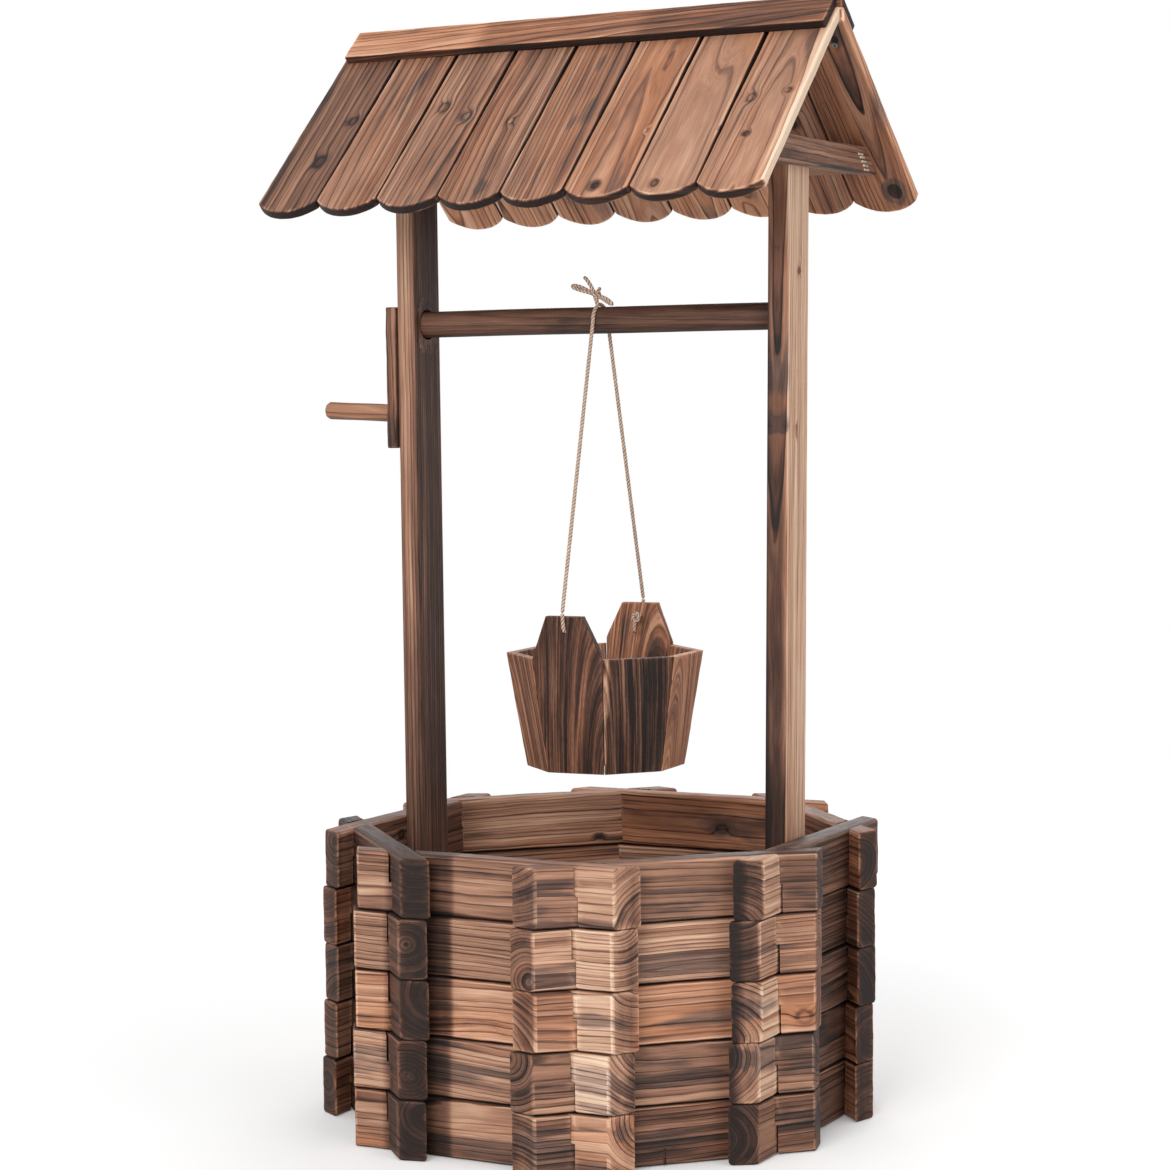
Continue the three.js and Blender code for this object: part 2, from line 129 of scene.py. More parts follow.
class Finish:
    # A material whose nodes come from node() and from arithmetic on what it returns
    def __init__(self, name, kind="material"):
        if kind == "world":
            self.data = bpy.data.worlds.new(name)
        else:
            self.data = bpy.data.materials.new(name)
        self.data.use_nodes = True
        self.nodes = self.data.node_tree.nodes
        self.links = self.data.node_tree.links
        self.nodes.clear()

    # A node of that type: its settings first, then its sockets by name or number
    def node(self, kind, settings, sockets, output=0):
        made = self.nodes.new(kind)
        for name, value in settings.items():
            if name == "stops":
                ramp = made.color_ramp.elements
                while len(ramp) < len(value):
                    ramp.new(0.5)
                for stop, (place, colour) in zip(ramp, value):
                    stop.position = place
                    stop.color = colour
            else:
                setattr(made, name, value)
        for name, value in sockets.items():
            socket = made.inputs[name]
            if isinstance(value, Socket):
                self.links.new(value.output, socket)
            else:
                socket.default_value = value
        return Socket(self, made.outputs[output]) if made.outputs else None

    def attribute(self, name):
        return self.node("ShaderNodeAttribute", {"attribute_name": name}, {}, "Vector")

    def parts(self, vector):
        split = self.node("ShaderNodeSeparateXYZ", {}, {0: vector})
        return [Socket(self, output) for output in split.output.node.outputs]

    def vector(self, x, y, z):
        return self.node("ShaderNodeCombineXYZ", {}, {0: x, 1: y, 2: z})

    def stretched(self, vector, scale):
        return self.node("ShaderNodeVectorMath", {"operation": "MULTIPLY"}, {0: vector, 1: scale})

    def noise(self, vector, scale, detail=2.0, roughness=0.5):
        return self.node("ShaderNodeTexNoise", {}, {"Vector": vector, "Scale": scale, "Detail": detail,
                                                    "Roughness": roughness})

    # From 0 at low to 1 at high, eased at both ends
    def rise(self, value, low, high):
        return self.node("ShaderNodeMapRange", {"interpolation_type": "SMOOTHSTEP"},
                         {"Value": value, "From Min": low, "From Max": high})

    def ramp(self, value, stops):
        return self.node("ShaderNodeValToRGB", {"stops": stops}, {0: value})

    def mixed(self, share, first, second):
        return self.node("ShaderNodeMix", {"data_type": "RGBA"}, {0: share, 6: first, 7: second}, 2)

    def bump(self, height, distance, strength):
        return self.node("ShaderNodeBump", {}, {"Height": height, "Distance": distance,
                                                "Strength": strength})

    def surface(self, sockets):
        shader = self.node("ShaderNodeBsdfPrincipled", {}, sockets)
        self.node("ShaderNodeOutputMaterial", {}, {"Surface": shader})
        return self.data


# A colour as written on screen, "#rrggbb", in Blender's linear numbers
def linear(written):
    parts = [int(written[at:at + 2], 16) / 255 for at in (1, 3, 5)]
    curve = [part / 12.92 if part <= 0.04045 else ((part + 0.055) / 1.055) ** 2.4 for part in parts]
    return (*curve, 1.0)


def grey(level):
    return (level, level, level, 1)


# The floor lies a hair under the well, and it is lifted a little towards white outside the well
backdrop = {"ambient": 0.52, "white": 1.0, "floorColour": "#f4f4f4", "floorLift": 0.18,
            "underWell": (0.22, 0.28), "fadeFrom": 1.1, "fadeTo": 2.6, "size": 6.0, "level": -0.0004}


def makeWorld():
    world = Finish("studio", "world")
    path = world.node("ShaderNodeLightPath", {}, {}, "Is Camera Ray")
    glossy = Socket(world, path.output.node.outputs["Is Glossy Ray"])
    through = Socket(world, path.output.node.outputs["Is Transmission Ray"])
    seen = path.maths("MAXIMUM", path, path.maths("MAXIMUM", glossy, through))
    strength = backdrop["ambient"] + seen * (backdrop["white"] - backdrop["ambient"])
    light = world.node("ShaderNodeBackground", {}, {"Color": (1, 1, 1, 1), "Strength": strength})
    world.node("ShaderNodeOutputWorld", {}, {"Surface": light})
    scene.world = world.data


# The floor is a flat square that fades into the white backdrop with the distance from its middle
def makeFloor():
    half = backdrop["size"]
    corners = [(x * half, y * half, backdrop["level"]) for x, y in ((-1, -1), (1, -1), (1, 1), (-1, 1))]
    floorMesh = bpy.data.meshes.new("floor")
    floorMesh.from_pydata(corners, [], [(0, 1, 2, 3)])
    floor = bpy.data.objects.new("floor", floorMesh)
    scene.collection.objects.link(floor)
    paint = Finish("paleFloor")
    place = paint.node("ShaderNodeTexCoord", {}, {}, "Object")
    away = paint.node("ShaderNodeVectorMath", {"operation": "LENGTH"}, {0: place}, "Value")
    fade = paint.rise(away, backdrop["fadeFrom"], backdrop["fadeTo"])
    seen = paint.node("ShaderNodeLightPath", {}, {}, "Is Camera Ray")
    matt = paint.node("ShaderNodeBsdfDiffuse", {}, {"Color": linear(backdrop["floorColour"])})
    outside = paint.rise(away, *backdrop["underWell"])    # no lift shows between the well's slats
    lift = paint.node("ShaderNodeEmission", {}, {"Strength": seen * outside * backdrop["floorLift"]})
    lifted = paint.node("ShaderNodeAddShader", {}, {0: matt, 1: lift})
    clear = paint.node("ShaderNodeBsdfTransparent", {}, {})
    shader = paint.node("ShaderNodeMixShader", {}, {0: fade, 1: lifted, 2: clear})
    paint.node("ShaderNodeOutputMaterial", {}, {"Surface": shader})
    floorMesh.materials.append(paint.data)


makeWorld()
makeFloor()
print("stage: camera,", len(lamps), "lamps, floor")


# Meshes from grids of points

pointSize = 1e-5    # what closes to a point or an edge keeps this radius
rightward, backward, upward = np.eye(3)


# A smooth wandering line from -1 to 1: a sum of five sine waves, drawn from the seed
def wander(along, seed, longest):
    draw = np.random.default_rng(seed)
    waves = longest / (1 + 1.7 * np.arange(5) * draw.uniform(0.7, 1.3, 5))
    starts = draw.uniform(0, 2 * np.pi, 5)
    shares = 1 / (1 + np.arange(5))
    total = np.sin(2 * np.pi * along[..., None] / waves + starts) @ shares
    return total / shares.sum()


# The corners of a grid's quads. Its last column joins its first.
def gridFaces(rows, columns):
    left = np.arange(rows * columns).reshape(rows, columns)
    right = np.roll(left, -1, axis=1)
    return np.stack([left[:-1], right[:-1], right[1:], left[1:]], axis=-1)


# One object from several grids. Each grid is (points, fields, faces); points that meet are joined,
# and the whole is turned right side out.
def pieceFrom(name, grids, material, weld=2e-5, sharp=38):
    points = np.concatenate([grid[0].reshape(-1, 3) for grid in grids])
    starts = np.cumsum([0] + [grid[0].reshape(-1, 3).shape[0] for grid in grids])
    faces = np.concatenate([grid[2].reshape(-1, 4) + start for grid, start in zip(grids, starts)])
    a, b, c, d = (points[faces[:, corner]] for corner in range(4))
    volume = (a * np.cross(b, c)).sum() + (a * np.cross(c, d)).sum()
    if volume < 0:
        faces = faces[:, ::-1]
    mesh = bpy.data.meshes.new(name)
    mesh.from_pydata(points.tolist(), [], faces.tolist())
    for field in grids[0][1]:
        values = np.concatenate([grid[1][field].reshape(-1, 3) for grid in grids])
        layer = mesh.attributes.new(field, "FLOAT_VECTOR", "POINT")
        layer.data.foreach_set("vector", values.astype(np.float32).ravel())
    edited = bmesh.new()
    edited.from_mesh(mesh)
    bmesh.ops.remove_doubles(edited, verts=edited.verts, dist=weld)
    bmesh.ops.dissolve_degenerate(edited, edges=edited.edges, dist=weld / 2)
    edited.to_mesh(mesh)
    edited.free()
    mesh.polygons.foreach_set("use_smooth", np.ones(len(mesh.polygons), bool))
    mesh.set_sharp_from_angle(angle=math.radians(sharp))
    mesh.materials.append(material)
    made = bpy.data.objects.new(name, mesh)
    scene.collection.objects.link(made)
    return made


# The outline of a rounded rectangle, given by half its width and half its thickness: four quarter
# circles joined by straight runs, drawn in by an inset. The corners keep the same points at any inset.
# The wide runs have even points, or points at given places.
def roundedOutline(halfWidth, halfThickness, radius, inset, wide, thick, turns=4, places=None):
    corner = max(radius - inset, pointSize)
    a = halfWidth - inset
    b = halfThickness - inset
    if places is None:
        if min(a, b) < corner:
            corner = max(min(a, b), 0) * 0.999
        even = np.linspace(1, -1, wide + 1)[1:-1]
        runA = (a - corner) * np.sign(even) * np.abs(even) ** 0.85
    else:
        runA = np.clip(places, (corner - a) * 0.999, (a - corner) * 0.999)
    runB = (b - corner) * np.linspace(1, -1, thick + 1)[1:-1]
    quarter = np.linspace(0, np.pi / 2, turns + 1)
    arc = np.stack([np.cos(quarter), np.sin(quarter)], axis=1) * corner
    one = np.array([a - corner, b - corner]) + arc
    two = np.array([corner - a, b - corner]) + arc[:, ::-1] * (-1, 1)
    top = np.stack([runA, np.full_like(runA, b)], axis=1)
    left = np.stack([np.full_like(runB, -a), runB], axis=1)
    half = np.concatenate([one, top, two, left])
    return np.concatenate([half, -half])


# How worn each point of that outline is, 1 on its corners, and which thin side it is on, -1 or 1
def outlineWear(halfWidth, halfThickness, radius, wide, thick):
    outline = roundedOutline(halfWidth, halfThickness, radius, 0, wide, thick)
    beyond = np.clip((np.abs(outline[:, 0]) - halfWidth + radius * 0.75) / (radius * 0.6), 0, 1)
    above = np.clip((np.abs(outline[:, 1]) - halfThickness + radius) / radius, 0, 1)
    corner = np.clip(np.minimum(above, (np.abs(outline[:, 0]) - halfWidth + radius * 1.4) / radius), 0, 1)
    return np.clip(corner * 1.6, 0, 1) * (1 - beyond), beyond * np.sign(outline[:, 0])


# A quarter-round arris at a stick's end, as rows: along, inset, share of the end face, edge
def arrisRows(radius, turns):
    return [(radius * (1 - math.cos(x)), radius * (1 - math.sin(x)), 1 - x / (np.pi / 2), 1.0)
            for x in np.linspace(0, np.pi / 2, turns + 1)]


# All the rows of a stick, as columns of (along, inset, share of the end face, edge): one end's rows,
# plain ones at the body's places, and the end's rows mirrored
def stickRows(ends, body, length, plain=0):
    rows = ends + [(along, plain, 0, 0) for along in body]
    rows += [(length - along, inset, face, edge) for along, inset, face, edge in ends[::-1]]
    return (np.array(column, float)[:, None] for column in zip(*rows))


# A straight stick in its own frame (along, across, through), as rows of rounded rectangles. Its ends
# are quarter-round arrises and flat faces that close on their middle line. shape() bends the frame.
def stickGrid(length, width, thickness, radius=0.0025, endRadius=0.0022, step=0.006,
              wide=10, thick=3, shape=None, turns=4):
    halfWidth = width / 2
    halfThickness = thickness / 2
    smallest = min(halfWidth, halfThickness)
    ends = [(0, smallest, 1, 0), (0, smallest * 0.55, 1, 0), (0, endRadius * 1.25, 1, 0.5),
            *arrisRows(endRadius, turns), (endRadius * 1.5, 0, 0, 0.2)]
    count = max(int(round((length - 3 * endRadius) / step)), 2)
    body = np.linspace(endRadius * 1.5, length - endRadius * 1.5, count + 1)[1:-1]
    along, inset, face, edge = stickRows(ends, body, length)
    corner, beside = outlineWear(halfWidth, halfThickness, radius, wide, thick)
    local = np.empty((len(along), len(corner), 3))
    local[..., 0] = along
    local[..., 1:] = [roundedOutline(halfWidth, halfThickness, radius, drawnIn, wide, thick)
                      for drawnIn in np.minimum(inset[:, 0], smallest)]
    fields = {
        "face": np.where(along < length / 2, -face, face) * np.ones(len(corner)),
        "edge": np.maximum(corner * (1 - face), edge),
        "side": beside * (1 - face),
    }
    if shape is not None:
        local = shape(local)
    return local, fields, gridFaces(len(along), len(corner))


# Shapes a stick of twice the apothem so that its ends lie on an octagon, where the stick's middle line
# is at a distance from the octagon's: reach = the smaller of apothem and (apothem root 2 - |distance|)
def endsOnOctagon(apothem, distance):
    def shape(local):
        bent = local.copy()
        reach = np.minimum(apothem, apothem * math.sqrt(2) - np.abs(local[..., 1] + distance))
        bent[..., 0] = (local[..., 0] / apothem - 1) * reach
        return bent

    return shape


# shades: darker patches, or paler ones for amounts below 0; some are painted shadow and painted highlight
# the thin sides lie in the gaps between pieces, and their darkness is painted shade there, over the char
# Every piece of wood gets a look of its own:
#   tone: how dark, from 0, cream, to 1, black;  warm: how orange;  char: how much of it is burnt grey
#   pith: where the tree's middle lies beside the piece;  lean: how it runs across it;  ring: ring width
#   ends: how much darker the two end faces are;  sides: how much darker the two thin sides are
#   faces: how much darker each face is, low and high across, low and high through
#   knots: (place, side, size, darkness);  swells, burns, shades: (place, side, length, height, amount)
#   lines, streaks: how much of the slot's dark lines and streaks show;  rub: how pale the arrises are
#   tilt: how much darker the low end of the face is than its high end, for the low face across and
#         the high face through;  cools: patches like shades that are less orange
plainLook = {
    "tone": 0.45, "warm": 0.5, "char": 0.0, "seed": 1, "pith": (0.004, -0.03), "lean": (0.01, 0.03),
    "ring": 1.0, "ends": (0.18, 0.18), "sides": (0.5, 0.5), "faces": (0, 0, 0, 0), "knots": (),
    "swells": (), "burns": (), "shades": (), "cools": (), "wobble": 0.00035, "lines": 1.0,
    "streaks": 1.0, "rub": 0.2, "tilt": (0.0, 0.0),
}
# Where a face's own darkness starts, as a share of half the width or thickness, and how softly
faceEdges = {"across": 0.93, "through": 0.82, "soft": 0.07}
knotStretch = 1.35     # knots are longer than they are wide


def lookOf(**changes):
    return {**plainLook, **changes}


def eased(value):
    share = np.clip(value, 0, 1)
    return share * share * (3 - 2 * share)


# The two kinds of patch, at distances in its own lengths: exp(-along^2 - across^2), and a rounded
# rectangle that is 1 inside, eased(1.5 - along^4 - across^4)
def softSpot(along, across):
    return np.exp(-along ** 2 - across ** 2)


def roundedPatch(along, across):
    return eased(1.5 - (along ** 4 + across ** 4))


# What the wood's material reads at each point:
#   grain: along the wood, and across it from the pith
#   finish: darker ends and sides, burnt, worn edge
#   tone: darkness, warmth, the piece's own number
#   knot: distance from the nearest knot in knot radii, the knot's darkness, width of the rings
#   figure: shares of the dark lines and of the streaks, and how pale a worn edge is
def woodFields(local, fields, look):
    along, across, through = (local[..., axis] for axis in range(3))
    draw = np.random.default_rng(look["seed"])
    shift = draw.uniform(0, 9)
    middle = along - (along.max() + along.min()) / 2

    def even(value):
        return np.full(along.shape, float(value))

    # A value with the look's patches of one kind added to it
    def patched(value, kind, shape, way=1):
        total = even(value)
        for place, side, length, height, amount in look[kind]:
            total = total + way * amount * shape((along - place) / length, (across - side) / height)
        return total

    # How much darker the low and the high end, or thin side, is
    def darkerAt(field, key):
        low, high = look[key]
        return np.maximum(-fields[field], 0) * low + np.maximum(fields[field], 0) * high

    u = across - look["pith"][0] - look["lean"][0] * middle
    v = patched(0, "swells", softSpot) + through - look["pith"][1] - look["lean"][1] * middle
    dark = patched(look["tone"], "shades", roundedPatch)
    shares = {"across": across / np.abs(across).max(), "through": through / np.abs(through).max()}
    onFace = [eased((way * shares[axis] - faceEdges[axis]) / faceEdges["soft"])
              for axis in ("across", "through") for way in (-1, 1)]
    for share, darker in zip(onFace, look["faces"]):
        dark = dark + darker * share
    raised = (along - along.min()) / (along.max() - along.min())
    for share, darker in zip((onFace[0], onFace[3]), look["tilt"]):
        dark = dark + darker * (0.5 - raised) * share
    nearest = even(9)
    depth = even(0)
    for place, side, size, darkness in look["knots"]:
        away = np.hypot((along - place) / knotStretch, across - side) / size
        depth = np.where(away < nearest, darkness, depth)
        nearest = np.minimum(nearest, away)
    parts = {
        "grain": (middle + shift, u, v),
        "finish": (darkerAt("face", "ends") + darkerAt("side", "sides"),
                   patched(look["char"], "burns", softSpot), fields["edge"]),
        "tone": (dark, patched(look["warm"], "cools", roundedPatch, -1), even(draw.uniform())),
        "knot": (nearest, depth, even(look["ring"])),
        "figure": (even(look["lines"]), even(look["streaks"]), even(look["rub"])),
    }
    return {name: np.stack(three, axis=-1) for name, three in parts.items()}


# Moves a stick's sides in and out a little, by lines that wander along it
def roughened(local, look):
    amount = look["wobble"]
    along = local[..., 0]
    bent = local.copy()
    bent[..., 1] += amount * wander(along, look["seed"] + 11, 0.17) * np.sign(local[..., 1])
    bent[..., 2] += amount * wander(along + 3 * local[..., 1], look["seed"] + 12, 0.11)
    return bent


# Puts a stick's own frame into the world: origin, and the directions of along, across and through
def placed(local, origin, along, across, through):
    axes = np.array([along, across, through], float)
    return np.array(origin, float) + local @ axes


def fitted(made, body, node):
    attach(made, body)
    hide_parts(node)
    return made


def woodPiece(name, grids, look, slot, body, node, origin, along, across, through):
    done = []
    for local, fields, faces in grids:
        read = woodFields(local, fields, look)
        done.append((placed(roughened(local, look), origin, along, across, through), read, faces))
    fitted(pieceFrom(name, done, woods[slot]), body, node)


# Twine: it comes first among the pieces, because its room is checked

twineSizes = {
    "radius": 0.002, "pitch": 0.0115, "step": 0.0008, "sides": 15, "plies": 3, "groove": 0.13,
    "uneven": 0.06, "cutLength": 0.003,
    "headBelow": 0.0008,       # the strands leave the spindle this much below its middle line
    "clear": 0.0023,           # from an ear's outside to the twine's middle line
    "bendLevels": (0.046, 0.0475), "tailLevels": (0.040, 0.035), "inward": (0.003, 0.006),
    "knotIn": 0.0068, "knotRadius": 0.0036, "knotPlay": 0.0008, "knotLength": 0.0022, "knotTurns": 1.55,
}
spindleLevel = 0.823
hangPlace = 0.006
hitchRadius = 0.0163
twineFinish = {"pale": "#dfc8b6", "mid": "#a98b76", "dark": "#4c3a30", "tip": "#4e423a"}


# How far along a line each of its points lies
def lengthAlong(line):
    return np.concatenate([[0], np.cumsum(np.linalg.norm(np.diff(line, axis=0), axis=1))])


# A line through given points, rounded by passes that cut each corner to its quarter points, then
# spaced evenly
def smoothLine(points, passes=3):
    line = np.array(points, float)
    for _ in range(passes):
        near = line[:-1] * 0.75 + line[1:] * 0.25
        far = line[:-1] * 0.25 + line[1:] * 0.75
        cut = np.stack([near, far], axis=1).reshape(-1, 3)
        line = np.concatenate([line[:1], cut[1:-1], line[-1:]])
    gone = lengthAlong(line)
    at = np.linspace(0, gone[-1], max(int(gone[-1] / twineSizes["step"]), 4))
    return np.stack([np.interp(at, gone, line[:, axis]) for axis in range(3)], axis=1)


# A twisted tube on a line. Its section is a circle with three lobes that turn once in each pitch:
# radius = r (1 - groove + groove |cos(1.5 (angle - twist))|). Both ends close; a cut one is dark.
def twineGrid(line, seed, cut=0.0):
    sizes = twineSizes
    ahead = np.gradient(line, axis=0)
    ahead /= np.linalg.norm(ahead, axis=1)[:, None]
    side = np.zeros_like(line)
    first = np.cross(ahead[0], (0.3, 0.9, 0.2))
    side[0] = first / np.linalg.norm(first)
    for at in range(1, len(line)):
        turned = side[at - 1] - ahead[at] * (side[at - 1] @ ahead[at])
        side[at] = turned / np.linalg.norm(turned)
    other = np.cross(ahead, side)
    gone = lengthAlong(line)
    angle = np.linspace(0, 2 * np.pi, sizes["sides"], endpoint=False)
    fromTwist = angle[None] - 2 * np.pi * gone[:, None] / sizes["pitch"]
    lobe = np.abs(np.cos(sizes["plies"] / 2 * fromTwist))
    thick = sizes["radius"] * (1 + sizes["uneven"] * wander(gone, seed, 0.03))
    rows = np.arange(len(line))
    closing = np.clip(np.minimum(rows, rows[::-1]) / 2.0, 0, 1) ** 0.5
    size = (thick * closing)[:, None] * (1 - sizes["groove"] + sizes["groove"] * lobe)
    points = line[:, None] + size[..., None] * (
        np.cos(angle)[None, :, None] * side[:, None] + np.sin(angle)[None, :, None] * other[:, None])
    far = np.broadcast_to(gone[:, None], lobe.shape)
    ends = cut * (1 - np.clip((gone[-1] - far) / sizes["cutLength"], 0, 1))
    strand = np.stack([lobe, ends, far], axis=-1)
    fibre = np.stack([far + seed, np.cos(fromTwist) * sizes["radius"],
                      np.sin(fromTwist) * sizes["radius"]], axis=-1)
    return points, {"strand": strand, "fibre": fibre}, gridFaces(len(line), len(angle))


def makeTwineFinish():
    jute = Finish("juteTwine")
    crest, ends, _ = jute.parts(jute.attribute("strand"))
    fibre = jute.stretched(jute.attribute("fibre"), (1, 9, 9))
    hairs = jute.noise(fibre, 420, 3, 0.6)
    patches = jute.noise(fibre, 60, 2)
    # Painted shade: the plies' crests are pale and the grooves between them dark
    light = crest * 0.8 + hairs * 0.6 + patches * 0.4 - 0.5
    colour = jute.ramp(light, [(0.0, linear(twineFinish["dark"])), (0.42, linear(twineFinish["mid"])),
                               (0.85, linear(twineFinish["pale"]))])
    colour = jute.mixed(ends * 0.75, colour, linear(twineFinish["tip"]))
    height = crest * 0.5 + hairs * 0.5
    return jute.surface({"Base Color": colour, "Roughness": 0.9, "Specular IOR Level": 0.25,
                         "Normal": jute.bump(height, 0.0005, 0.6)})


twineLook = makeTwineFinish()
bucket = {"rim": 0.480, "depth": 0.119, "rimApothem": 0.095, "lean": 0.019 / 0.119, "turn": 4,
          "earHeight": 0.044, "earTop": 0.040, "holeLevel": 0.0285, "thickness": 0.009, "lift": 0.151,
          "floorLift": 0.008, "floorThickness": 0.009, "blank": 0.08, "mitreGap": 0.00025,
          "floorGap": 0.0003, "boardGap": 0.0006}
bucketTurn = math.radians(bucket["turn"])
staveThickness = bucket["thickness"] * math.hypot(1, bucket["lean"])    # level, through a leaning stave


# A point beside the bucket's front (-1) or back (1) ear: out from the hanging line, up from the rim
def besideEar(side, out, level):
    return np.array([hangPlace - math.sin(bucketTurn) * side * out, math.cos(bucketTurn) * side * out,
                     bucket["rim"] + level])


def outerAt(level):
    return bucket["rimApothem"] + level * bucket["lean"]


# A strand down to an ear, and as the other piece the tail through the ear's hole, the stopper, which
# is an overhand knot of tight turns round the twine's end, and the loose end
def makeStrand(side, sideName):
    size = twineSizes
    head = np.array([hangPlace, side * hitchRadius, spindleLevel - size["headBelow"]])
    bend = besideEar(side, outerAt(size["bendLevels"][0]) + size["clear"], size["bendLevels"][1])
    line = smoothLine([head, head * 0.7 + bend * 0.3, head * 0.3 + bend * 0.7, bend])
    strand = pieceFrom(f"twine_{sideName}", [twineGrid(line, 3 + side)], twineLook, sharp=180)
    low = bucket["holeLevel"]
    mouth = outerAt(low)
    inside = mouth - staveThickness
    tail = [bend, *(besideEar(side, outerAt(level) + size["clear"], level) for level in size["tailLevels"]),
            besideEar(side, mouth + 0.0026, low + 0.0012), besideEar(side, mouth - 0.002, low),
            *(besideEar(side, inside - further, low) for further in size["inward"])]
    centre = besideEar(side, inside - size["knotIn"], low)
    outward = besideEar(side, 1, 0) - besideEar(side, 0, 0)
    level = np.cross(outward, upward)
    t = np.linspace(0, 2 * np.pi * size["knotTurns"], 60)[:, None]
    wrap = size["knotRadius"] + size["knotPlay"] * np.sin(1.5 * t)
    knot = (centre + wrap * (np.cos(t) * level + np.sin(t) * upward)
            + size["knotLength"] * np.cos(0.65 * t) * outward)
    loose = [centre - 0.001 * upward, centre - outward * 0.005 - 0.006 * upward,
             centre - outward * 0.006 + np.array([0.001, 0, -0.016])]
    grids = [twineGrid(smoothLine(tail), 20 + side), twineGrid(smoothLine(knot, 1), 30 + side),
             twineGrid(smoothLine(loose), 40 + side, 1.0)]
    stopper = pieceFrom(f"twine_knot_{sideName}", grids, twineLook, sharp=180)
    fitted(strand, "rope_fall", f"rope_strand_{sideName}")
    fitted(stopper, "rope_ends", f"rope_stopper_{sideName}")
    return strand, stopper, head, line


sideNames = ((-1, "front"), (1, "back"))
strands = {sideName: makeStrand(side, sideName) for side, sideName in sideNames}


# The bow: each side of the hitch climbs round the spindle, twists into a neck and meets in a knot,
# from which two loops and two tails leave
bow = {
    "knot": (-0.0012, -0.0075, 0.0262),     # from the spindle's middle line
    "climb": {"front": 62, "back": 104},    # degrees round the spindle
    "wrap": 0.0033, "wrapHeight": 0.0012, "wrapAside": 0.0006, "wrapTurns": 1.7,
    # each loop: degrees from the spindle's right end, rise in degrees, length, half its opening
    "loops": ((204, 25, 0.0262, 0.0012), (-2, -22, 0.0205, 0.0010)),
    "loopSag": 0.0022, "loopOpen": 1.55,
    # each tail: degrees round, rise, length
    "tails": ((196, 57, 0.0225), (40, 62, 0.0085)),
    "tailCurl": (0.002, -0.001, 0),
}


# The level direction at an angle round, and the direction that rises from it
def heading(turn, rise):
    flat = np.array([math.cos(math.radians(turn)), math.sin(math.radians(turn)), 0])
    return flat, flat * math.cos(math.radians(rise)) + upward * math.sin(math.radians(rise))


def makeBow():
    grids = []
    centre = np.array([hangPlace, 0, spindleLevel])
    top = centre + np.array(bow["knot"])
    for side, sideName in sideNames:
        angle = np.radians(np.linspace(3, bow["climb"][sideName], 12))
        climb = np.stack([np.linspace(0, -0.0006 * side, 12), side * np.cos(angle) * hitchRadius,
                          np.sin(angle) * hitchRadius], axis=1) + centre
        neck = [centre + np.array([-0.0014 * side, -0.0072 + 0.0012 * side, 0.0190]),
                centre + np.array([0.0016 * side - 0.0006, -0.0076, 0.0222]), top]
        # It starts a little way down the strand, so that the two look like one length
        line = strands[sideName][3]
        grids.append(twineGrid(smoothLine([line[4], line[0], *climb, *neck]), 50 + side))
    t = np.linspace(0, 2 * np.pi * bow["wrapTurns"], 70)
    wrap = np.stack([bow["wrap"] * np.cos(t), bow["wrap"] * np.sin(t), bow["wrapHeight"] * np.sin(0.8 * t)],
                    axis=1) + bow["wrapAside"] * (rightward + upward)
    grids.append(twineGrid(smoothLine(top + wrap, 1), 60))
    t = np.linspace(0, 1, 40)[:, None]
    for turn, rise, length, half in bow["loops"]:
        flat, ahead = heading(turn, rise)
        level = np.cross(flat, upward) * 0.45 + upward * 0.9
        path = (top + length * np.sin(np.pi * t) ** 0.9 * ahead
                + half * bow["loopOpen"] * np.sin(2 * np.pi * t) * level
                - bow["loopSag"] * np.sin(np.pi * t) ** 2 * upward)
        grids.append(twineGrid(smoothLine(path, 1), 70 + turn))
    curl = np.array(bow["tailCurl"])
    for turn, rise, length in bow["tails"]:
        _, ahead = heading(turn, rise)
        path = [top, top + ahead * length * 0.4 + curl * 0.5, top + ahead * length * 0.75 + curl,
                top + ahead * length]
        grids.append(twineGrid(smoothLine(path), 90 + turn, 1.0))
    return pieceFrom("twine_bow", grids, twineLook, sharp=180)


bowPiece = fitted(makeBow(), "rope_top", "rope_hitch")
for sideName, (strand, stopper, head, line) in strands.items():
    drop = spindleLevel - line[-1][2]
    1 - bucket["lift"] / drop
    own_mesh(strand)
print("twine: two strands, knots and bow")


# Wood: torched and brushed softwood. Growth rings are cylinders round the pith, so that faces,
# ends and rounded edges all cut the same tree. Everything adds up to one darkness, from cream to
# black, which three ramps turn into tan, orange and grey wood. A noise less 0.5 lies evenly round 0,
# and the number it is multiplied by is its share of the darkness.
woodTones = {
    "tan": ("#ecd3b9", "#d2ab8f", "#a97e66", "#7a5746", "#4a3228", "#221713"),
    "orange": ("#f2cdae", "#dba281", "#b67c5a", "#82533c", "#4d3024", "#221612"),
    "grey": ("#d9c8ba", "#b19a8c", "#876f64", "#604d46", "#40312b", "#1f1816"),
}
# For each slot: strength of the dark lines, of fine and broad streaks, of whole rings, of clouds,
# how readily it burns, and how orange it is
slotParts = ("lines", "fine", "broad", "rings", "clouds", "burn", "warm")
woodSlots = {
    "tan_wood": (0.36, 0.52, 0.46, 0.15, 0.22, -0.02, 0.0),
    "brown_wood": (0.35, 0.52, 0.46, 0.15, 0.24, -0.01, 0.0),
    "dark_wood": (0.32, 0.50, 0.48, 0.14, 0.26, 0.01, -0.05),
    "black_wood": (0.16, 0.90, 0.85, 0.10, 0.25, -0.04, 0.1),
}
woodFigure = {
    "ringPitch": 0.0050,     # between two dark lines
    # how dark a ring is from its inner to its outer edge
    "line": ((0.0, 0.02), (0.06, 0.0), (0.58, 0.04), (0.80, 0.28), (0.90, 1.0), (0.95, 0.85), (1.0, 0.02)),
    "sway": 0.0048,          # how far the rings wander over a hand's length
    "ripple": 0.0006,        # and over a finger's width
    "knotBend": 0.003,       # how far they swing out round a knot
    "roughness": 0.62,
    "relief": 0.0007,
}


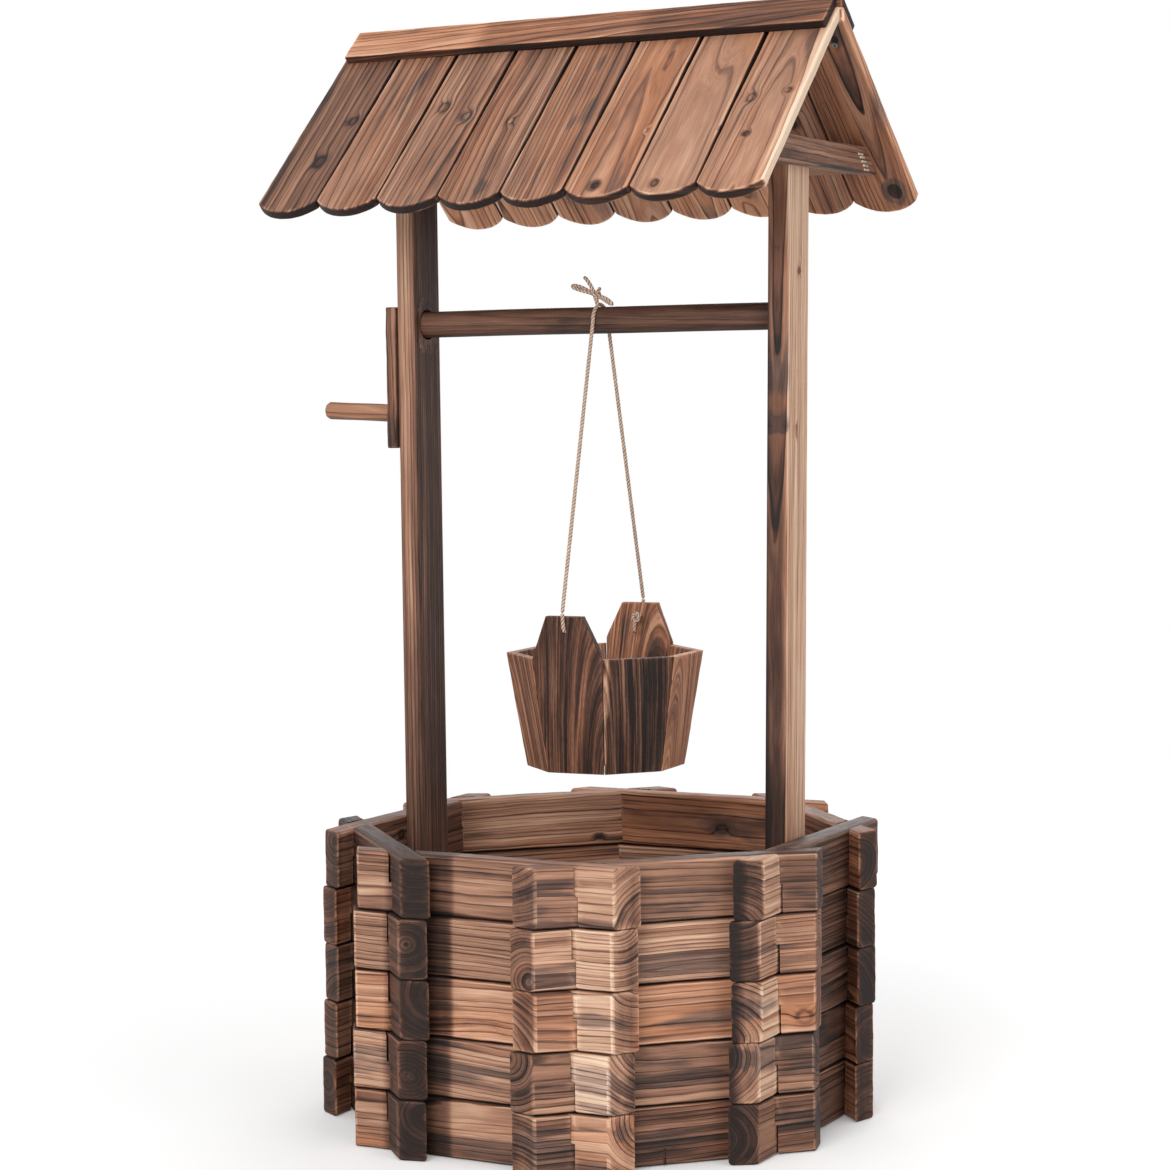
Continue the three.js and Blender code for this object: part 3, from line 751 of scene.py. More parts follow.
def makeWoodFinish(slot):
    own = dict(zip(slotParts, woodSlots[slot]))
    wood = Finish(slot)
    grain = wood.attribute("grain")
    along, across, through = wood.parts(grain)
    darker, burnt, edge = wood.parts(wood.attribute("finish"))
    tone, warmth, number = wood.parts(wood.attribute("tone"))
    knotAway, knotDark, ringWidth = wood.parts(wood.attribute("knot"))
    lineShare, streakShare, rub = wood.parts(wood.attribute("figure"))

    # Where the rings lie: the distance from the pith, with slow and quick wandering
    slow = wood.noise(wood.stretched(grain, (3.4, 15, 15)), 1, 2)
    slowB = wood.noise(wood.stretched(grain, (2.6, 10, 10)), 1.3, 1)
    quick = wood.noise(wood.stretched(grain, (20, 90, 90)), 1, 2)
    u = across + (slow - 0.5) * 2 * woodFigure["sway"]
    v = through + (slowB - 0.5) * 2 * woodFigure["sway"]
    radius = (u * u + v * v) ** 0.5
    nearKnot = 1 - wood.rise(knotAway, 0.8, 3.4)
    radius = radius + nearKnot * nearKnot * woodFigure["knotBend"]
    radius = radius + (quick - 0.5) * 2 * woodFigure["ripple"]
    uneven = wood.noise(wood.vector(radius, number, 0), 95, 1)
    rings = radius / (ringWidth * woodFigure["ringPitch"]) + uneven * 2.0
    phase = rings.maths("FRACT", rings)
    line = wood.ramp(phase, [(place, grey(level)) for place, level in woodFigure["line"]])
    ringTint = wood.node("ShaderNodeTexWhiteNoise", {"noise_dimensions": "2D"},
                         {"Vector": wood.vector(rings.maths("FLOOR", rings), number * 37, 0)})

    # Fine and broad streaks that keep to the rings, short fibres, and clouds
    fine = wood.noise(wood.vector(radius * 620, along * 9, number * 20), 1, 2, 0.6)
    broad = wood.noise(wood.vector(radius * 190, along * 4, number * 20), 1, 2)
    fibres = wood.noise(wood.stretched(grain, (28, 900, 900)), 1, 2, 0.6)
    clouds = wood.noise(wood.stretched(grain, (8, 26, 26)), 1, 3, 0.55)

    # Burnt places: where clouds and rings let the flame in, and round knots
    heat = clouds + (ringTint - 0.5) * 0.22 + (broad - 0.5) * 0.5 + burnt + nearKnot * 0.14 + own["burn"]
    veil = wood.rise(heat, 0.58, 0.73)
    deep = wood.rise(heat, 0.98, 1.30)

    # Knots: a dark broken rim round a ringed eye
    broken = wood.rise(quick, 0.38, 0.55)
    rim = wood.rise(knotAway, 0.6, 0.95) * (1 - wood.rise(knotAway, 1.0, 1.6))
    eye = 1 - wood.rise(knotAway, 0.7, 1.0)
    smudge = 1 - wood.rise(knotAway, 0.9, 2.6)
    knots = rim * (0.10 + knotDark * 0.24) * (0.5 + broken * 0.5) + eye * (knotDark * 0.26 - 0.12)
    knots = knots + smudge * knotDark * 0.14

    # Arrises are rubbed pale here and there
    worn = edge * wood.rise(broad + (clouds - 0.5) * 0.8 - burnt * 0.4, 0.38, 0.62)

    streaks = (fine - 0.5) * own["fine"] + (broad - 0.5) * own["broad"]
    dark = tone + line * lineShare * own["lines"] * (0.45 + broad * 1.1) + streaks * streakShare
    dark = dark + (ringTint - 0.5) * own["rings"] + (clouds - 0.5) * own["clouds"] + (fibres - 0.5) * 0.25
    dark = dark + veil * 0.10 + deep * 0.32 + knots + darker - worn * rub

    orange = wood.rise(warmth + own["warm"] + (slow - 0.5) * 1.2 + (ringTint - 0.5) * 0.4, 0.25, 0.95)
    ramps = {}
    for hue, colours in woodTones.items():
        stops = [(place / 5, linear(colour)) for place, colour in enumerate(colours)]
        ramps[hue] = wood.ramp(dark, stops)
    colour = wood.mixed(orange, ramps["tan"], ramps["orange"])
    colour = wood.mixed(veil * 0.7, colour, ramps["grey"])

    height = line * 0.8 + fine * 0.5 + fibres * 0.3 - eye * 0.3
    rough = woodFigure["roughness"] + (fibres - 0.5) * 0.3 - line * 0.08 + deep * 0.1
    return wood.surface({"Base Color": colour, "Roughness": rough, "Specular IOR Level": 0.24,
                         "Normal": wood.bump(height, woodFigure["relief"], 0.6)})


woods = {slot: makeWoodFinish(slot) for slot in woodSlots}
print("materials:", len(woods) + 1)


# Logs of the well

logs = {
    "apothem": 0.251, "thickness": 0.026, "height": 0.0595, "pitch": 0.0598,
    "edge": 0.0038, "endEdge": 0.0018, "lean": math.tan(math.radians(31)), "stub": 0.040,
    "askew": (-0.0062, -0.0054, -0.0024, -0.0030, 0.0), "askewWay": (0.88, 0.47, 0), "setIn": 0.0002,
    "lapGap": 0.0004, "lapSlack": 0.0015, "uneven": 0.0006, "endPlay": 0.0016,
    "beforeNotch": 0.0015, "pastNotch": 0.0012, "endRow": 0.008,
}
wallNames = ("right", "back_right", "back", "back_left", "left", "front_left", "front", "front_right")
logSlots = ("tan_wood", "brown_wood", "dark_wood")


# In a log's own frame, place runs to the right along the wall from its middle, and side is the height
# in the log. This patch is a log's left (-1) or right (1) end, where it stands past the corner.
def stubPatch(way, amount):
    return (way * 0.128, 0.03, 0.026, 0.06, amount)


# Shades for both ends, and a painted shadow on the part beside the left one, where that stub would cast it
def stubShades(left, right, paintedShadow=0.0):
    patches = [stubPatch(-1, left), stubPatch(1, right)]
    return patches + [(-0.070, 0.03, 0.037, 0.06, paintedShadow)] if paintedShadow else patches


def seenLog(tone, warm, ends, stubs, **rest):
    return dict({"knots": ()}, tone=tone, warm=warm, ends=ends, shades=stubShades(*stubs), **rest)


# Looks of the logs that show from the front, by wall and course
# The third stub value of the front logs is a painted shadow beside the left stub.
logLooks = {
    ("front", 5): dict(tone=0.48, warm=0.35, ends=(0.1, 0.11), shades=stubShades(0.02, -0.12, 0.30)),
    ("front", 4): seenLog(0.43, -0.05, (0.1, 0.16), (0.0, -0.18, 0.44), cools=[stubPatch(1, 0.5)],
                          swells=[(-0.045, 0.048, 0.05, 0.007, 0.008)]),
    ("front", 3): seenLog(0.27, 0.62, (0.1, 0.27), (0.04, -0.09, 0.48), char=-0.12,
                          cools=[stubPatch(1, 1.1)], swells=[(0.0, 0.016, 0.04, 0.012, 0.009)],
                          burns=[(-0.045, 0.033, 0.03, 0.008, 0.45), (0.122, 0.030, 0.016, 0.008, 0.5)]),
    ("front", 2): seenLog(0.40, 0.4, (0.1, 0.32), (-0.07, -0.29, 0.34),
                          burns=[(0, 0.03, 0.2, 0.012, 0.22)]),
    ("front", 1): seenLog(0.44, 0.6, (0.1, 0.02), (0.01, -0.08, 0.34),
                          burns=[(0, 0.024, 0.11, 0.012, 0.26), (0.13, 0.044, 0.02, 0.003, 0.5)]),
    ("front_right", 5): seenLog(0.50, 0.0, (0.14, 0.25), (-0.01, 0.12), char=0.10, lines=0.7,
                                streaks=0.7),
    ("front_right", 4): seenLog(0.37, 0.4, (0.28, 0.2), (0.01, 0.09), lines=0.8,
                                burns=[(0, 0.02, 0.2, 0.018, 0.18), (0, 0.055, 0.2, 0.014, -0.3)]),
    ("front_right", 3): seenLog(0.36, 0.6, (0.18, 0.26), (0.08, 0.04), char=-0.12,
                                burns=[(0.05, 0.022, 0.05, 0.006, 0.5)],
                                knots=[(0.131, 0.016, 0.006, 0.5)]),
    ("front_right", 2): seenLog(0.49, 0.25, (0.15, 0.2), (0.0, 0.03), char=0.04),
    ("front_right", 1): seenLog(0.64, 0.35, (0.08, 0.15), (-0.13, -0.02), char=0.06,
                                burns=[(0, 0.03, 0.2, 0.014, 0.25), (0, 0.055, 0.2, 0.008, -0.5)]),
    # The right wall's dark tones are partly painted shade.
    ("right", 5): seenLog(0.73, 0.3, (0.46, 0.12), (-0.43, 0.0),
                          cools=[(-0.14, 0.03, 0.04, 0.06, 0.6)]),
    ("right", 4): seenLog(0.77, 0.3, (0.41, 0.14), (-0.37, 0.0)),
    ("right", 3): seenLog(0.73, 0.3, (0.31, 0.14), (-0.57, 0.0),
                          burns=[(-0.135, 0.034, 0.03, 0.008, 0.4)]),
    ("right", 2): seenLog(0.72, 0.1, (0.27, 0.12), (-0.49, 0.0),
                          burns=[(-0.135, 0.044, 0.03, 0.010, 0.4)]),
    ("right", 1): seenLog(0.77, 0.3, (0.26, 0.1), (-0.17, 0.0)),
}
# Walls in the shade, painted dark as painted shade: tone, ends, the share of their lines and streaks, and
# the painted shade of the left stub
darkWalls = {"front_left": (0.83, (0.1, 0.18), 0.6, 0.32), "left": (0.60, (0.1, 0.26), 0.8, 0),
             "back_right": (0.60, (0.35, 0.1), 0.8, 0)}


# A log's outline across (out, up) with its notch closed or open: over, the notch comes from below, and
# otherwise from above. All have the same points: the half that is kept stays, and the other half runs
# round the full log or straight across the notch.
def logOutlines(over, inset):
    size = logs
    mid = size["height"] / 2 + (size["lapGap"] / 2 if over else -size["lapGap"] / 2)
    halfT = size["thickness"] / 2 - inset
    corner = max(size["edge"] - inset, pointSize)
    top = size["height"] - inset
    low = inset
    quarter = np.linspace(0, np.pi / 2, 5)
    span = np.linspace(0, 1, 6)

    # Half an outline, from the outer face at the middle height, over the far edge, to the inner face
    def half(reach):
        sign = 1 if reach > mid else -1
        rise = np.abs(reach - mid) - corner
        sideUp = mid + sign * rise * span[:-1]
        outer = np.stack([np.full(5, halfT), sideUp], axis=1)
        arc = np.stack([halfT - corner + corner * np.cos(quarter),
                        mid + sign * (rise + corner * np.sin(quarter))], axis=1)
        acrossTop = np.linspace(halfT - corner, corner - halfT, 5)[1:-1]
        flat = np.stack([acrossTop, np.full(3, reach)], axis=1)
        back = arc[::-1] * (-1, 1)
        inner = outer[::-1] * (-1, 1)
        return np.concatenate([outer, arc, flat, back, inner])

    upper = half(top)
    lower = half(low)[::-1]
    cut = lower if over else upper
    straight = np.linspace(cut[0], cut[-1], len(cut))
    notched = np.concatenate([upper, straight] if over else [straight, lower])
    return np.concatenate([upper, lower]), notched


# What each point of that outline is: 1 on the worn corners, 0 on flats, -1 and 1 on the under and
# upper faces, which lie in the joints, where they are painted dark as painted shade
def logWear(outline):
    size = logs
    out = np.clip(1 - (size["thickness"] / 2 - np.abs(outline[:, 0])) / size["edge"], 0, 1)
    middle = size["height"] / 2
    up = np.abs(outline[:, 1] - middle)
    near = np.clip(1 - (middle - up) / size["edge"], 0, 1)
    joint = eased((near - 0.45) / 0.5)
    return eased(np.minimum(out, near) * 3) * (1 - joint), joint * np.sign(outline[:, 1] - middle)


# One log in its own frame: along is level with the wall, across is up, through is out. Each row is a
# slanted cut through the log: along = place + slant (out of the outer face). The right end laps over
# the next log, and the left end lies under the one before.
def logGrid(play):
    size = logs
    outer = size["apothem"]
    inner = outer - size["thickness"]
    root = math.sqrt(2)
    notchFrom = (inner - size["lapGap"]) * root - outer
    notchTo = (outer + size["lapSlack"]) * root - outer
    end = outer * math.tan(math.pi / 8) + size["stub"]
    angles = np.linspace(0, np.pi / 2, 5)
    e = size["endEdge"]

    # Rows from the middle of the log to one end: place, slant, inset, notched, end face, edge
    def halfRows(play):
        last = end + play
        start = notchTo + size["pastNotch"]
        stub = np.linspace(0, 1, 8)[1:]
        lean = size["lean"]
        rows = [(y, y / notchFrom, 0, 0, 0, 0) for y in np.linspace(0, notchFrom - size["beforeNotch"], 14)]
        rows += [(notchFrom, 1, 0, 0, 0, 0.6), (notchFrom, 1, 0, 1, 0, 0)]
        rows += [(y, 1, 0, 1, 0, 0) for y in np.linspace(notchFrom, notchTo, 8)[1:-1]]
        rows += [(notchTo, 1, 0, 1, 0, 0), (notchTo, 1, 0, 0, 0, 0.8), (start, 1, 0, 0, 0, 0.3)]
        rows += [(start + (last - 1.6 * e - start) * k, 1 + (lean - 1) * k, 0, 0, 0, 0) for k in stub]
        rows += [(last - e * (1 - math.sin(x)), lean, e * (1 - math.cos(x)), 0, x / (np.pi / 2), 1)
                 for x in angles]
        rows += [(last, lean, e * 1.3, 0, 1, 0.5), (last, lean, size["endRow"], 0, 1, 0),
                 (last, lean, size["thickness"] / 2, 0, 1, 0)]
        return rows

    left = [(-y, -slant, *rest) for y, slant, *rest in halfRows(play[0])][::-1]
    rows = left[:-1] + halfRows(play[1])
    grid, face, edge, side = [], [], [], []
    corner, joint = logWear(logOutlines(True, 0)[0])
    for place, slant, inset, notched, atEnd, atEdge in rows:
        full, cut = logOutlines(place >= 0, inset)
        outline = cut if notched else full
        out = size["thickness"] / 2 - outline[:, 0]
        grid.append(np.stack([place + slant * out, outline[:, 1], outline[:, 0]], axis=1))
        face.append(np.full(len(outline), math.copysign(atEnd, place)))
        edge.append(np.maximum(corner * (1 - atEnd), atEdge))
        side.append(joint * (1 - atEnd))
    fields = {"face": np.array(face), "edge": np.array(edge), "side": np.array(side)}
    grid = np.array(grid)
    return grid, fields, gridFaces(*grid.shape[:2])


# The courses, counted from the ground, weren't stacked quite true
def courseShift(course):
    return logs["askew"][course - 1] * np.array(logs["askewWay"])


def makeLogs():
    draw = np.random.default_rng(8)
    for place, wallName in enumerate(wallNames):
        turn = place * math.pi / 4
        outward = np.array([math.cos(turn), math.sin(turn), 0])
        sideways = np.array([-math.sin(turn), math.cos(turn), 0])
        for course in range(1, 6):
            slot = logSlots[(place + 2 * (course - 1)) % 3]
            play = draw.uniform(-1, 1, 2) * logs["endPlay"]
            shift = draw.uniform(-1, 1) * logs["uneven"] - logs["setIn"]
            look = lookOf(tone=draw.uniform(0.3, 0.6), warm=draw.uniform(0.1, 0.95),
                          char=draw.uniform(-0.08, 0.1), seed=100 + place * 10 + course,
                          pith=(draw.uniform(-0.03, 0.09), draw.uniform(-0.05, 0.02)),
                          lean=(draw.uniform(-0.03, 0.03), draw.uniform(-0.04, 0.04)),
                          ring=draw.uniform(0.7, 1.35), wobble=0.0004, rub=0.26,
                          sides=(0.55, 0.55 if course < 5 else 0.04),
                          ends=tuple(draw.uniform(0.08, 0.32, 2)),
                          shades=stubShades(*draw.uniform(-0.14, 0.05, 2)))
            look["knots"] = [(draw.uniform(-0.12, 0.12), draw.uniform(0.01, 0.05),
                              draw.uniform(0.003, 0.0055), draw.uniform(0.3, 1))
                             for _ in range(draw.integers(0, 3))]
            if wallName in darkWalls:
                tone, look["ends"], shown, paintedStubShade = darkWalls[wallName]
                look["tone"] = tone + draw.uniform(-0.04, 0.04)
                look["char"] -= 0.15
                look["lines"] = look["streaks"] = shown
                look["shades"] = look["shades"] + [stubPatch(-1, paintedStubShade)]
            look.update(logLooks.get((wallName, course), {}))
            middle = logs["apothem"] - logs["thickness"] / 2 + shift
            origin = outward * middle + courseShift(course) + upward * (course - 1) * logs["pitch"]
            woodPiece(f"log_{wallName}_{course}", [logGrid(play)], look, slot, "frame",
                      f"wall_{wallName}_log_{course}", origin, sideways, upward, outward)
    print("well: 40 logs")


makeLogs()


# Floor of the well: slats on bearers, cut to the inside of the walls

wellFloor = {"apothem": 0.2247, "slatThickness": 0.010, "slats": 6, "gap": 0.006,
             "bearerHeight": 0.018, "bearerWidth": 0.040, "bearers": (-0.150, 0, 0.150)}


def makeWellFloor():
    size = wellFloor
    apothem = size["apothem"]
    width = (2 * apothem - (size["slats"] - 1) * size["gap"]) / size["slats"]
    across = [width / 2 - apothem + slat * (width + size["gap"]) for slat in range(size["slats"])]

    # One board from wall to wall. Its length runs ahead and its width aside, and it lies out from the
    # well's middle by the distance called middle.
    def addBoard(name, middle, boardWidth, thickness, level, step, columns, look, ahead, aside, out):
        grid = stickGrid(2 * apothem, boardWidth, thickness, step=step, wide=columns,
                         shape=endsOnOctagon(apothem, middle))
        origin = courseShift(1) + out * middle + upward * (level + thickness / 2)
        woodPiece(name, [grid], look, "brown_wood", "frame", "base_floor", origin, ahead, aside, upward)

    for slat, middle in enumerate(across):
        look = lookOf(tone=0.5, seed=300 + slat, pith=(0.02, -0.05), lean=(0.01, 0.03))
        addBoard(f"well_slat_{slat + 1}", middle, width, size["slatThickness"], size["bearerHeight"],
                 0.012, 8, look, rightward, backward, backward)
    # The outer bearers' ends slant the other way and run into the walls' lowest course
    for number, middle in enumerate(size["bearers"], 1):
        addBoard(f"well_bearer_{number}", middle, size["bearerWidth"], size["bearerHeight"], 0,
                 0.016, 6, lookOf(tone=0.55, seed=320 + number), backward, -rightward, rightward)
    print("well floor: 6 slats, 3 bearers")


makeWellFloor()


# Posts

posts = {"outer": 0.2247, "thickness": 0.0225, "width": 0.050, "bottom": 0.0283, "top": 0.997,
         "lean": 0.0154, "leanFrom": 0.541,    # the right post leans out a little
         "edge": 0.0016, "endEdge": 0.0014, "endRow": 0.005, "bodyFrom": 0.003,
         "holeRadius": 0.0163, "socketDepth": 0.014, "patch": 0.0205, "patchSteps": 8}
# The tilts are painted light and shade along the posts: the front faces are painted paler at the top, in
# the roof's shade, and darker at the foot.
postLooks = {
    -1: lookOf(tone=0.43, warm=0.12, char=-0.10, seed=401, pith=(-0.05, 0.03), lean=(0.006, 0.004),
               ring=0.7, sides=(0, 0), faces=(0.155, 0, 0.1, 0.335), tilt=(0.60, -0.16), lines=0.75,
               streaks=0.8, wobble=0),
    1: lookOf(tone=0.23, warm=0.42, char=-0.22, seed=402, pith=(-0.052, 0.002), lean=(0.012, -0.003),
              ring=0.9, sides=(0, 0), faces=(0.55, 0.36, 0.36, 0), tilt=(0.72, 0.2), lines=0.85,
              streaks=0.9, wobble=0, cools=[(0.8, 0.0, 0.5, 0.02, 0.3)],
              burns=[(0.772, -0.025, 0.016, 0.006, 0.35), (0.735, -0.025, 0.025, 0.006, 0.45),
                     (0.686, -0.025, 0.010, 0.006, 0.7), (0.862, -0.025, 0.012, 0.005, 0.3)],
              knots=[(0.840, 0.002, 0.0035, 0.9), (0.680, -0.004, 0.004, 0.7), (0.866, 0.006, 0.002, 0.6),
                     (0.736, -0.003, 0.0022, 0.6)]),
}


# How far the right post and what is fixed to it stand out at a height
def leanAt(side, height):
    return posts["lean"] * (height - posts["leanFrom"]) if side > 0 else 0


# A post with a round hole: the stick leaves a square open on its wide faces, a patch runs from the
# square's edge to the circle, and a wall runs round the circle to the other side or to a floor.
def postGrids(side):
    size = posts
    length = size["top"] - size["bottom"]
    holeAt = spindleLevel - size["bottom"]
    steps = size["patchSteps"]
    turns = 3
    columns = np.linspace(-size["patch"], size["patch"], steps + 1)
    levels = holeAt + columns
    halfW = size["width"] / 2
    halfT = size["thickness"] / 2
    start = size["bodyFrom"]
    ends = [(0, halfT, 1, 0), (0, size["endRow"], 1, 0), (0, size["endEdge"] * 1.3, 1, 0.5),
            *arrisRows(size["endEdge"], turns)]
    body = [*np.linspace(start, levels[0], 70)[:-1], *levels,
            *np.linspace(levels[-1], length - start, 14)[1:]]
    along, inset, atEnd, atEdge = stickRows(ends, body, length)
    rings = np.array([roundedOutline(halfW, halfT, size["edge"], drawnIn, steps + 2, 4, turns,
                                     columns[::-1]) for drawnIn in inset[:, 0]])
    half = rings.shape[1] // 2
    corner = np.zeros(half)
    corner[:turns + 1] = 1
    corner[turns + 2 + steps:2 * turns + 3 + steps] = 1
    local = np.concatenate([np.broadcast_to(along[..., None], (*rings.shape[:2], 1)), rings], axis=-1)
    edge = np.maximum(np.tile(corner, 2) * (1 - atEnd), atEdge)
    fields = {"face": np.broadcast_to(atEnd, edge.shape), "edge": edge, "side": np.zeros_like(edge)}
    faces = gridFaces(*local.shape[:2])
    firstRow = int(np.argmin(np.abs(local[:, 0, 0] - levels[0])))
    openings = (0, 1) if side < 0 else (1,)
    keep = np.ones(faces.shape[:2], bool)
    for opening in openings:
        first = turns + 1 + opening * half
        keep[firstRow:firstRow + steps, first:first + steps] = False
    grids = [(local, fields, faces[keep])]

    # The square's edge as one loop from its corner, and the circle's point for each of its points
    line = np.linspace(-1, 1, steps + 1)[:-1]
    bottom = np.stack([line, np.full(steps, -1)], axis=1)
    turned = np.stack([np.full(steps, 1), line], axis=1)
    square = np.concatenate([bottom, turned, -bottom, -turned])
    circle = square / np.linalg.norm(square, axis=1)[:, None] * size["holeRadius"]
    share = np.array([0, 0.4, 0.75, 0.93, 1.0])[:, None, None]

    # Rings round the hole at given depths, with how rubbed each one is
    def addRings(points, depths, rims, turnedOver=False):
        grid = np.empty((len(rims), len(square), 3))
        grid[..., 0] = holeAt + points[..., 0]
        grid[..., 1] = points[..., 1]
        grid[..., 2] = np.array(depths)[:, None]
        nothing = np.zeros(grid.shape[:2])
        around = gridFaces(*grid.shape[:2])
        grids.append((grid, {"face": nothing, "edge": nothing + np.array(rims)[:, None], "side": nothing},
                      around[..., ::-1] if turnedOver else around))

    flat = square * size["patch"] * (1 - share) + circle * share
    for opening in openings:
        addRings(flat, [-halfT if opening else halfT] * 5, (0, 0, 0.2, 0.6, 1), not opening)
    if side < 0:
        addRings(circle[None], np.linspace(-halfT, halfT, 5), (1, 0, 0, 0, 1))
    else:
        depth = size["socketDepth"]
        closing = np.array([1, 1, 1, 0.001])[:, None, None]
        addRings(circle * closing, [-halfT, depth / 2 - halfT, depth - halfT, depth - halfT], (1, 0, 0, 0))
    return grids


def makePosts():
    for side, name, slot in ((-1, "left", "brown_wood"), (1, "right", "tan_wood")):
        middle = side * (posts["outer"] - posts["thickness"] / 2) + leanAt(side, posts["bottom"])
        # through runs along +X, so the right post's inner face is its low side
        woodPiece(f"post_{name}_timber", postGrids(side), postLooks[side], slot, "frame", f"post_{name}",
                  (middle, 0, posts["bottom"]), (leanAt(side, posts["leanFrom"] + 1), 0, 1), backward,
                  rightward)
    print("posts: 2")


makePosts()


# Roof

roof = {
    "ridge": 1.137, "pitch": math.radians(43.5), "shift": -0.0045, "boards": 8, "length": 0.5668,
    "backPitch": math.radians(41.8), "backShift": 0.0025,    # the back slope lies a little flatter
    "gap": 0.0004, "thickness": 0.010, "run": 0.268, "scallop": 0.016, "depthFrom": 0.0093,
    "seat": 0.0003, "cup": 0.0003, "sideGap": 0.0004, "purlinWidth": 0.028, "purlinDepth": 0.014,
    "purlinRun": 0.200, "purlinEnd": 0.2247, "capWidth": 0.043, "capThickness": 0.009,
    "capLength": 0.554, "backCapShift": 0.0066, "beamWidth": 0.026, "beamDepth": 0.036,
    "beamInset": 0.045, "tieLevel": 0.970, "tieHeight": 0.027, "tieThickness": 0.018,
}
boardWidth = (roof["length"] - (roof["boards"] - 1) * roof["gap"]) / roof["boards"]
underBoards = roof["depthFrom"] + roof["thickness"]     # from the slope's plane down to their undersides
ridgeLine = upward * roof["ridge"]
slopes = ((-1, "front"), (1, "back"))


# The boards of the front slope from the crank's end: how much each is drawn in at its ridge end.
# In a board's own frame, place runs down from the ridge, and side to the right.
boardTaper = (0.0012, 0.0017, 0.0016, 0.0016, 0.0012, 0.0014, 0.0018, 0.0022)
boardLooks = {
    1: dict(tone=0.59, warm=0.4, pith=(0.06, -0.06), lean=(0.02, 0.01), ring=0.85,
            knots=[(0.142, 0.023, 0.0045, 0.8), (0.206, 0.011, 0.006, 1.0)],
            burns=[(0.10, -0.036, 0.02, 0.007, 0.8), (0.205, -0.036, 0.016, 0.006, 0.7)]),
    2: dict(tone=0.50, warm=0.55, pith=(-0.05, -0.05), lean=(0.0, 0.01), ring=0.9,
            swells=[(0.075, 0.008, 0.045, 0.006, 0.006)],
            burns=[(0.085, 0.0075, 0.016, 0.0035, 0.55), (0.12, 0.008, 0.04, 0.005, 0.25)]),
    3: dict(tone=0.48, warm=0.35, pith=(0.045, -0.06), lean=(-0.01, 0.012), ring=0.8,
            knots=[(0.129, -0.015, 0.0055, 0.7), (0.146, 0.019, 0.0045, 0.0)],
            burns=[(0.275, 0.004, 0.012, 0.003, 0.6)]),
    4: dict(tone=0.51, warm=0.35, pith=(-0.055, -0.06), lean=(0.01, 0.0), ring=0.8,
            knots=[(0.158, 0.004, 0.0040, 0.0)], burns=[(0.262, 0.009, 0.012, 0.010, 0.35)]),
    5: dict(tone=0.50, warm=0.5, pith=(0.05, -0.05), lean=(0.02, 0.0), ring=0.7,
            burns=[(0.072, 0.004, 0.016, 0.003, 0.6), (0.150, 0.020, 0.03, 0.010, 0.35),
                   (0.168, 0.006, 0.014, 0.004, 0.3)]),
    6: dict(tone=0.41, warm=0.6, pith=(0.004, -0.045), lean=(0.004, 0.004), ring=0.8, lines=0.7,
            streaks=0.8, swells=[(0.075, 0.010, 0.05, 0.009, 0.005)],
            knots=[(0.186, 0.024, 0.0028, 0.0), (0.266, -0.002, 0.0035, 0.8)],
            burns=[(0.062, 0.009, 0.02, 0.006, 0.3)]),
    7: dict(tone=0.45, warm=0.6, pith=(-0.002, -0.050), lean=(0.0, 0.004), ring=1.5, lines=0.55,
            streaks=0.55, swells=[(0.050, 0.003, 0.050, 0.012, 0.010)],
            knots=[(0.267, -0.008, 0.0035, 0.8), (0.189, 0.034, 0.002, 0.6)],
            burns=[(0.092, 0.007, 0.014, 0.004, 0.4)]),
    8: dict(tone=0.45, warm=0.6, pith=(0.008, -0.036), lean=(0.0, 0.022), ring=0.85, lines=0.7,
            streaks=0.8, sides=(0.5, -0.34), shades=[(0.13, 0.036, 0.2, 0.012, -0.26)],
            knots=[(0.145, -0.018, 0.0045, 0.5), (0.200, -0.0057, 0.0028, 1.0),
                   (0.137, 0.0176, 0.0030, 0.3)]),
}
lastBackBoard = {"sides": (0.5, -0.10), "knots": [],
                 "burns": [(0.254, 0.015, 0.012, 0.010, 1.3), (0.043, 0.016, 0.006, 0.005, 1.0)]}
capLook = lookOf(tone=0.53, warm=0.85, char=-0.10, pith=(0.05, -0.04), lean=(-0.02, 0.03), ring=0.8,
                 sides=(0, 0.50), ends=(0.1, 0.5), rub=0.34,
                 shades=[(0.06, 0.02, 0.1, 0.05, -0.21), (0.47, 0.02, 0.12, 0.05, 0.13)])
tieLook = lookOf(tone=0.57, warm=0.25, char=0.05, pith=(0.03, -0.03), lean=(0.01, 0.02), ring=0.7,
                 sides=(0, 0))


# The middle of a board along the ridge, counted from the crank's end
def boardMiddle(board):
    return roof["shift"] - roof["length"] / 2 + boardWidth / 2 + board * (boardWidth + roof["gap"])


# Cuts an end or an edge upright at the ridge: it starts later the deeper it lies under the slope
def ridgeCut(depth):
    return roof["seat"] + depth * math.tan(roof["pitch"])


# One roof board. Its ridge end is cut upright, and its low end is the arc that swells past its corners:
# along = arc centre + root(arc radius squared - across squared). Its sides are slightly cupped.
def boardGrid(taper):
    size = roof
    half = boardWidth / 2
    arcRadius = (half ** 2 + size["scallop"] ** 2) / (2 * size["scallop"])
    arcCentre = size["run"] + size["scallop"] - arcRadius

    def cutEnds(local):
        share = local[..., 0] / size["run"]
        depth = size["depthFrom"] + size["thickness"] / 2 - local[..., 2]
        start = ridgeCut(depth)
        end = arcCentre + np.sqrt(arcRadius ** 2 - local[..., 1] ** 2)
        bent = local.copy()
        bent[..., 0] = start * (1 - share) + end * share
        bent[..., 1] = local[..., 1] * (1 - 2 * taper / boardWidth * np.clip(1 - share, 0, 1))
        bent[..., 2] += size["cup"] * (local[..., 1] / half) ** 2
        return bent

    return stickGrid(size["run"], boardWidth - size["sideGap"], size["thickness"], radius=0.0018,
                     endRadius=0.0016, step=0.004, wide=18, shape=cutEnds)


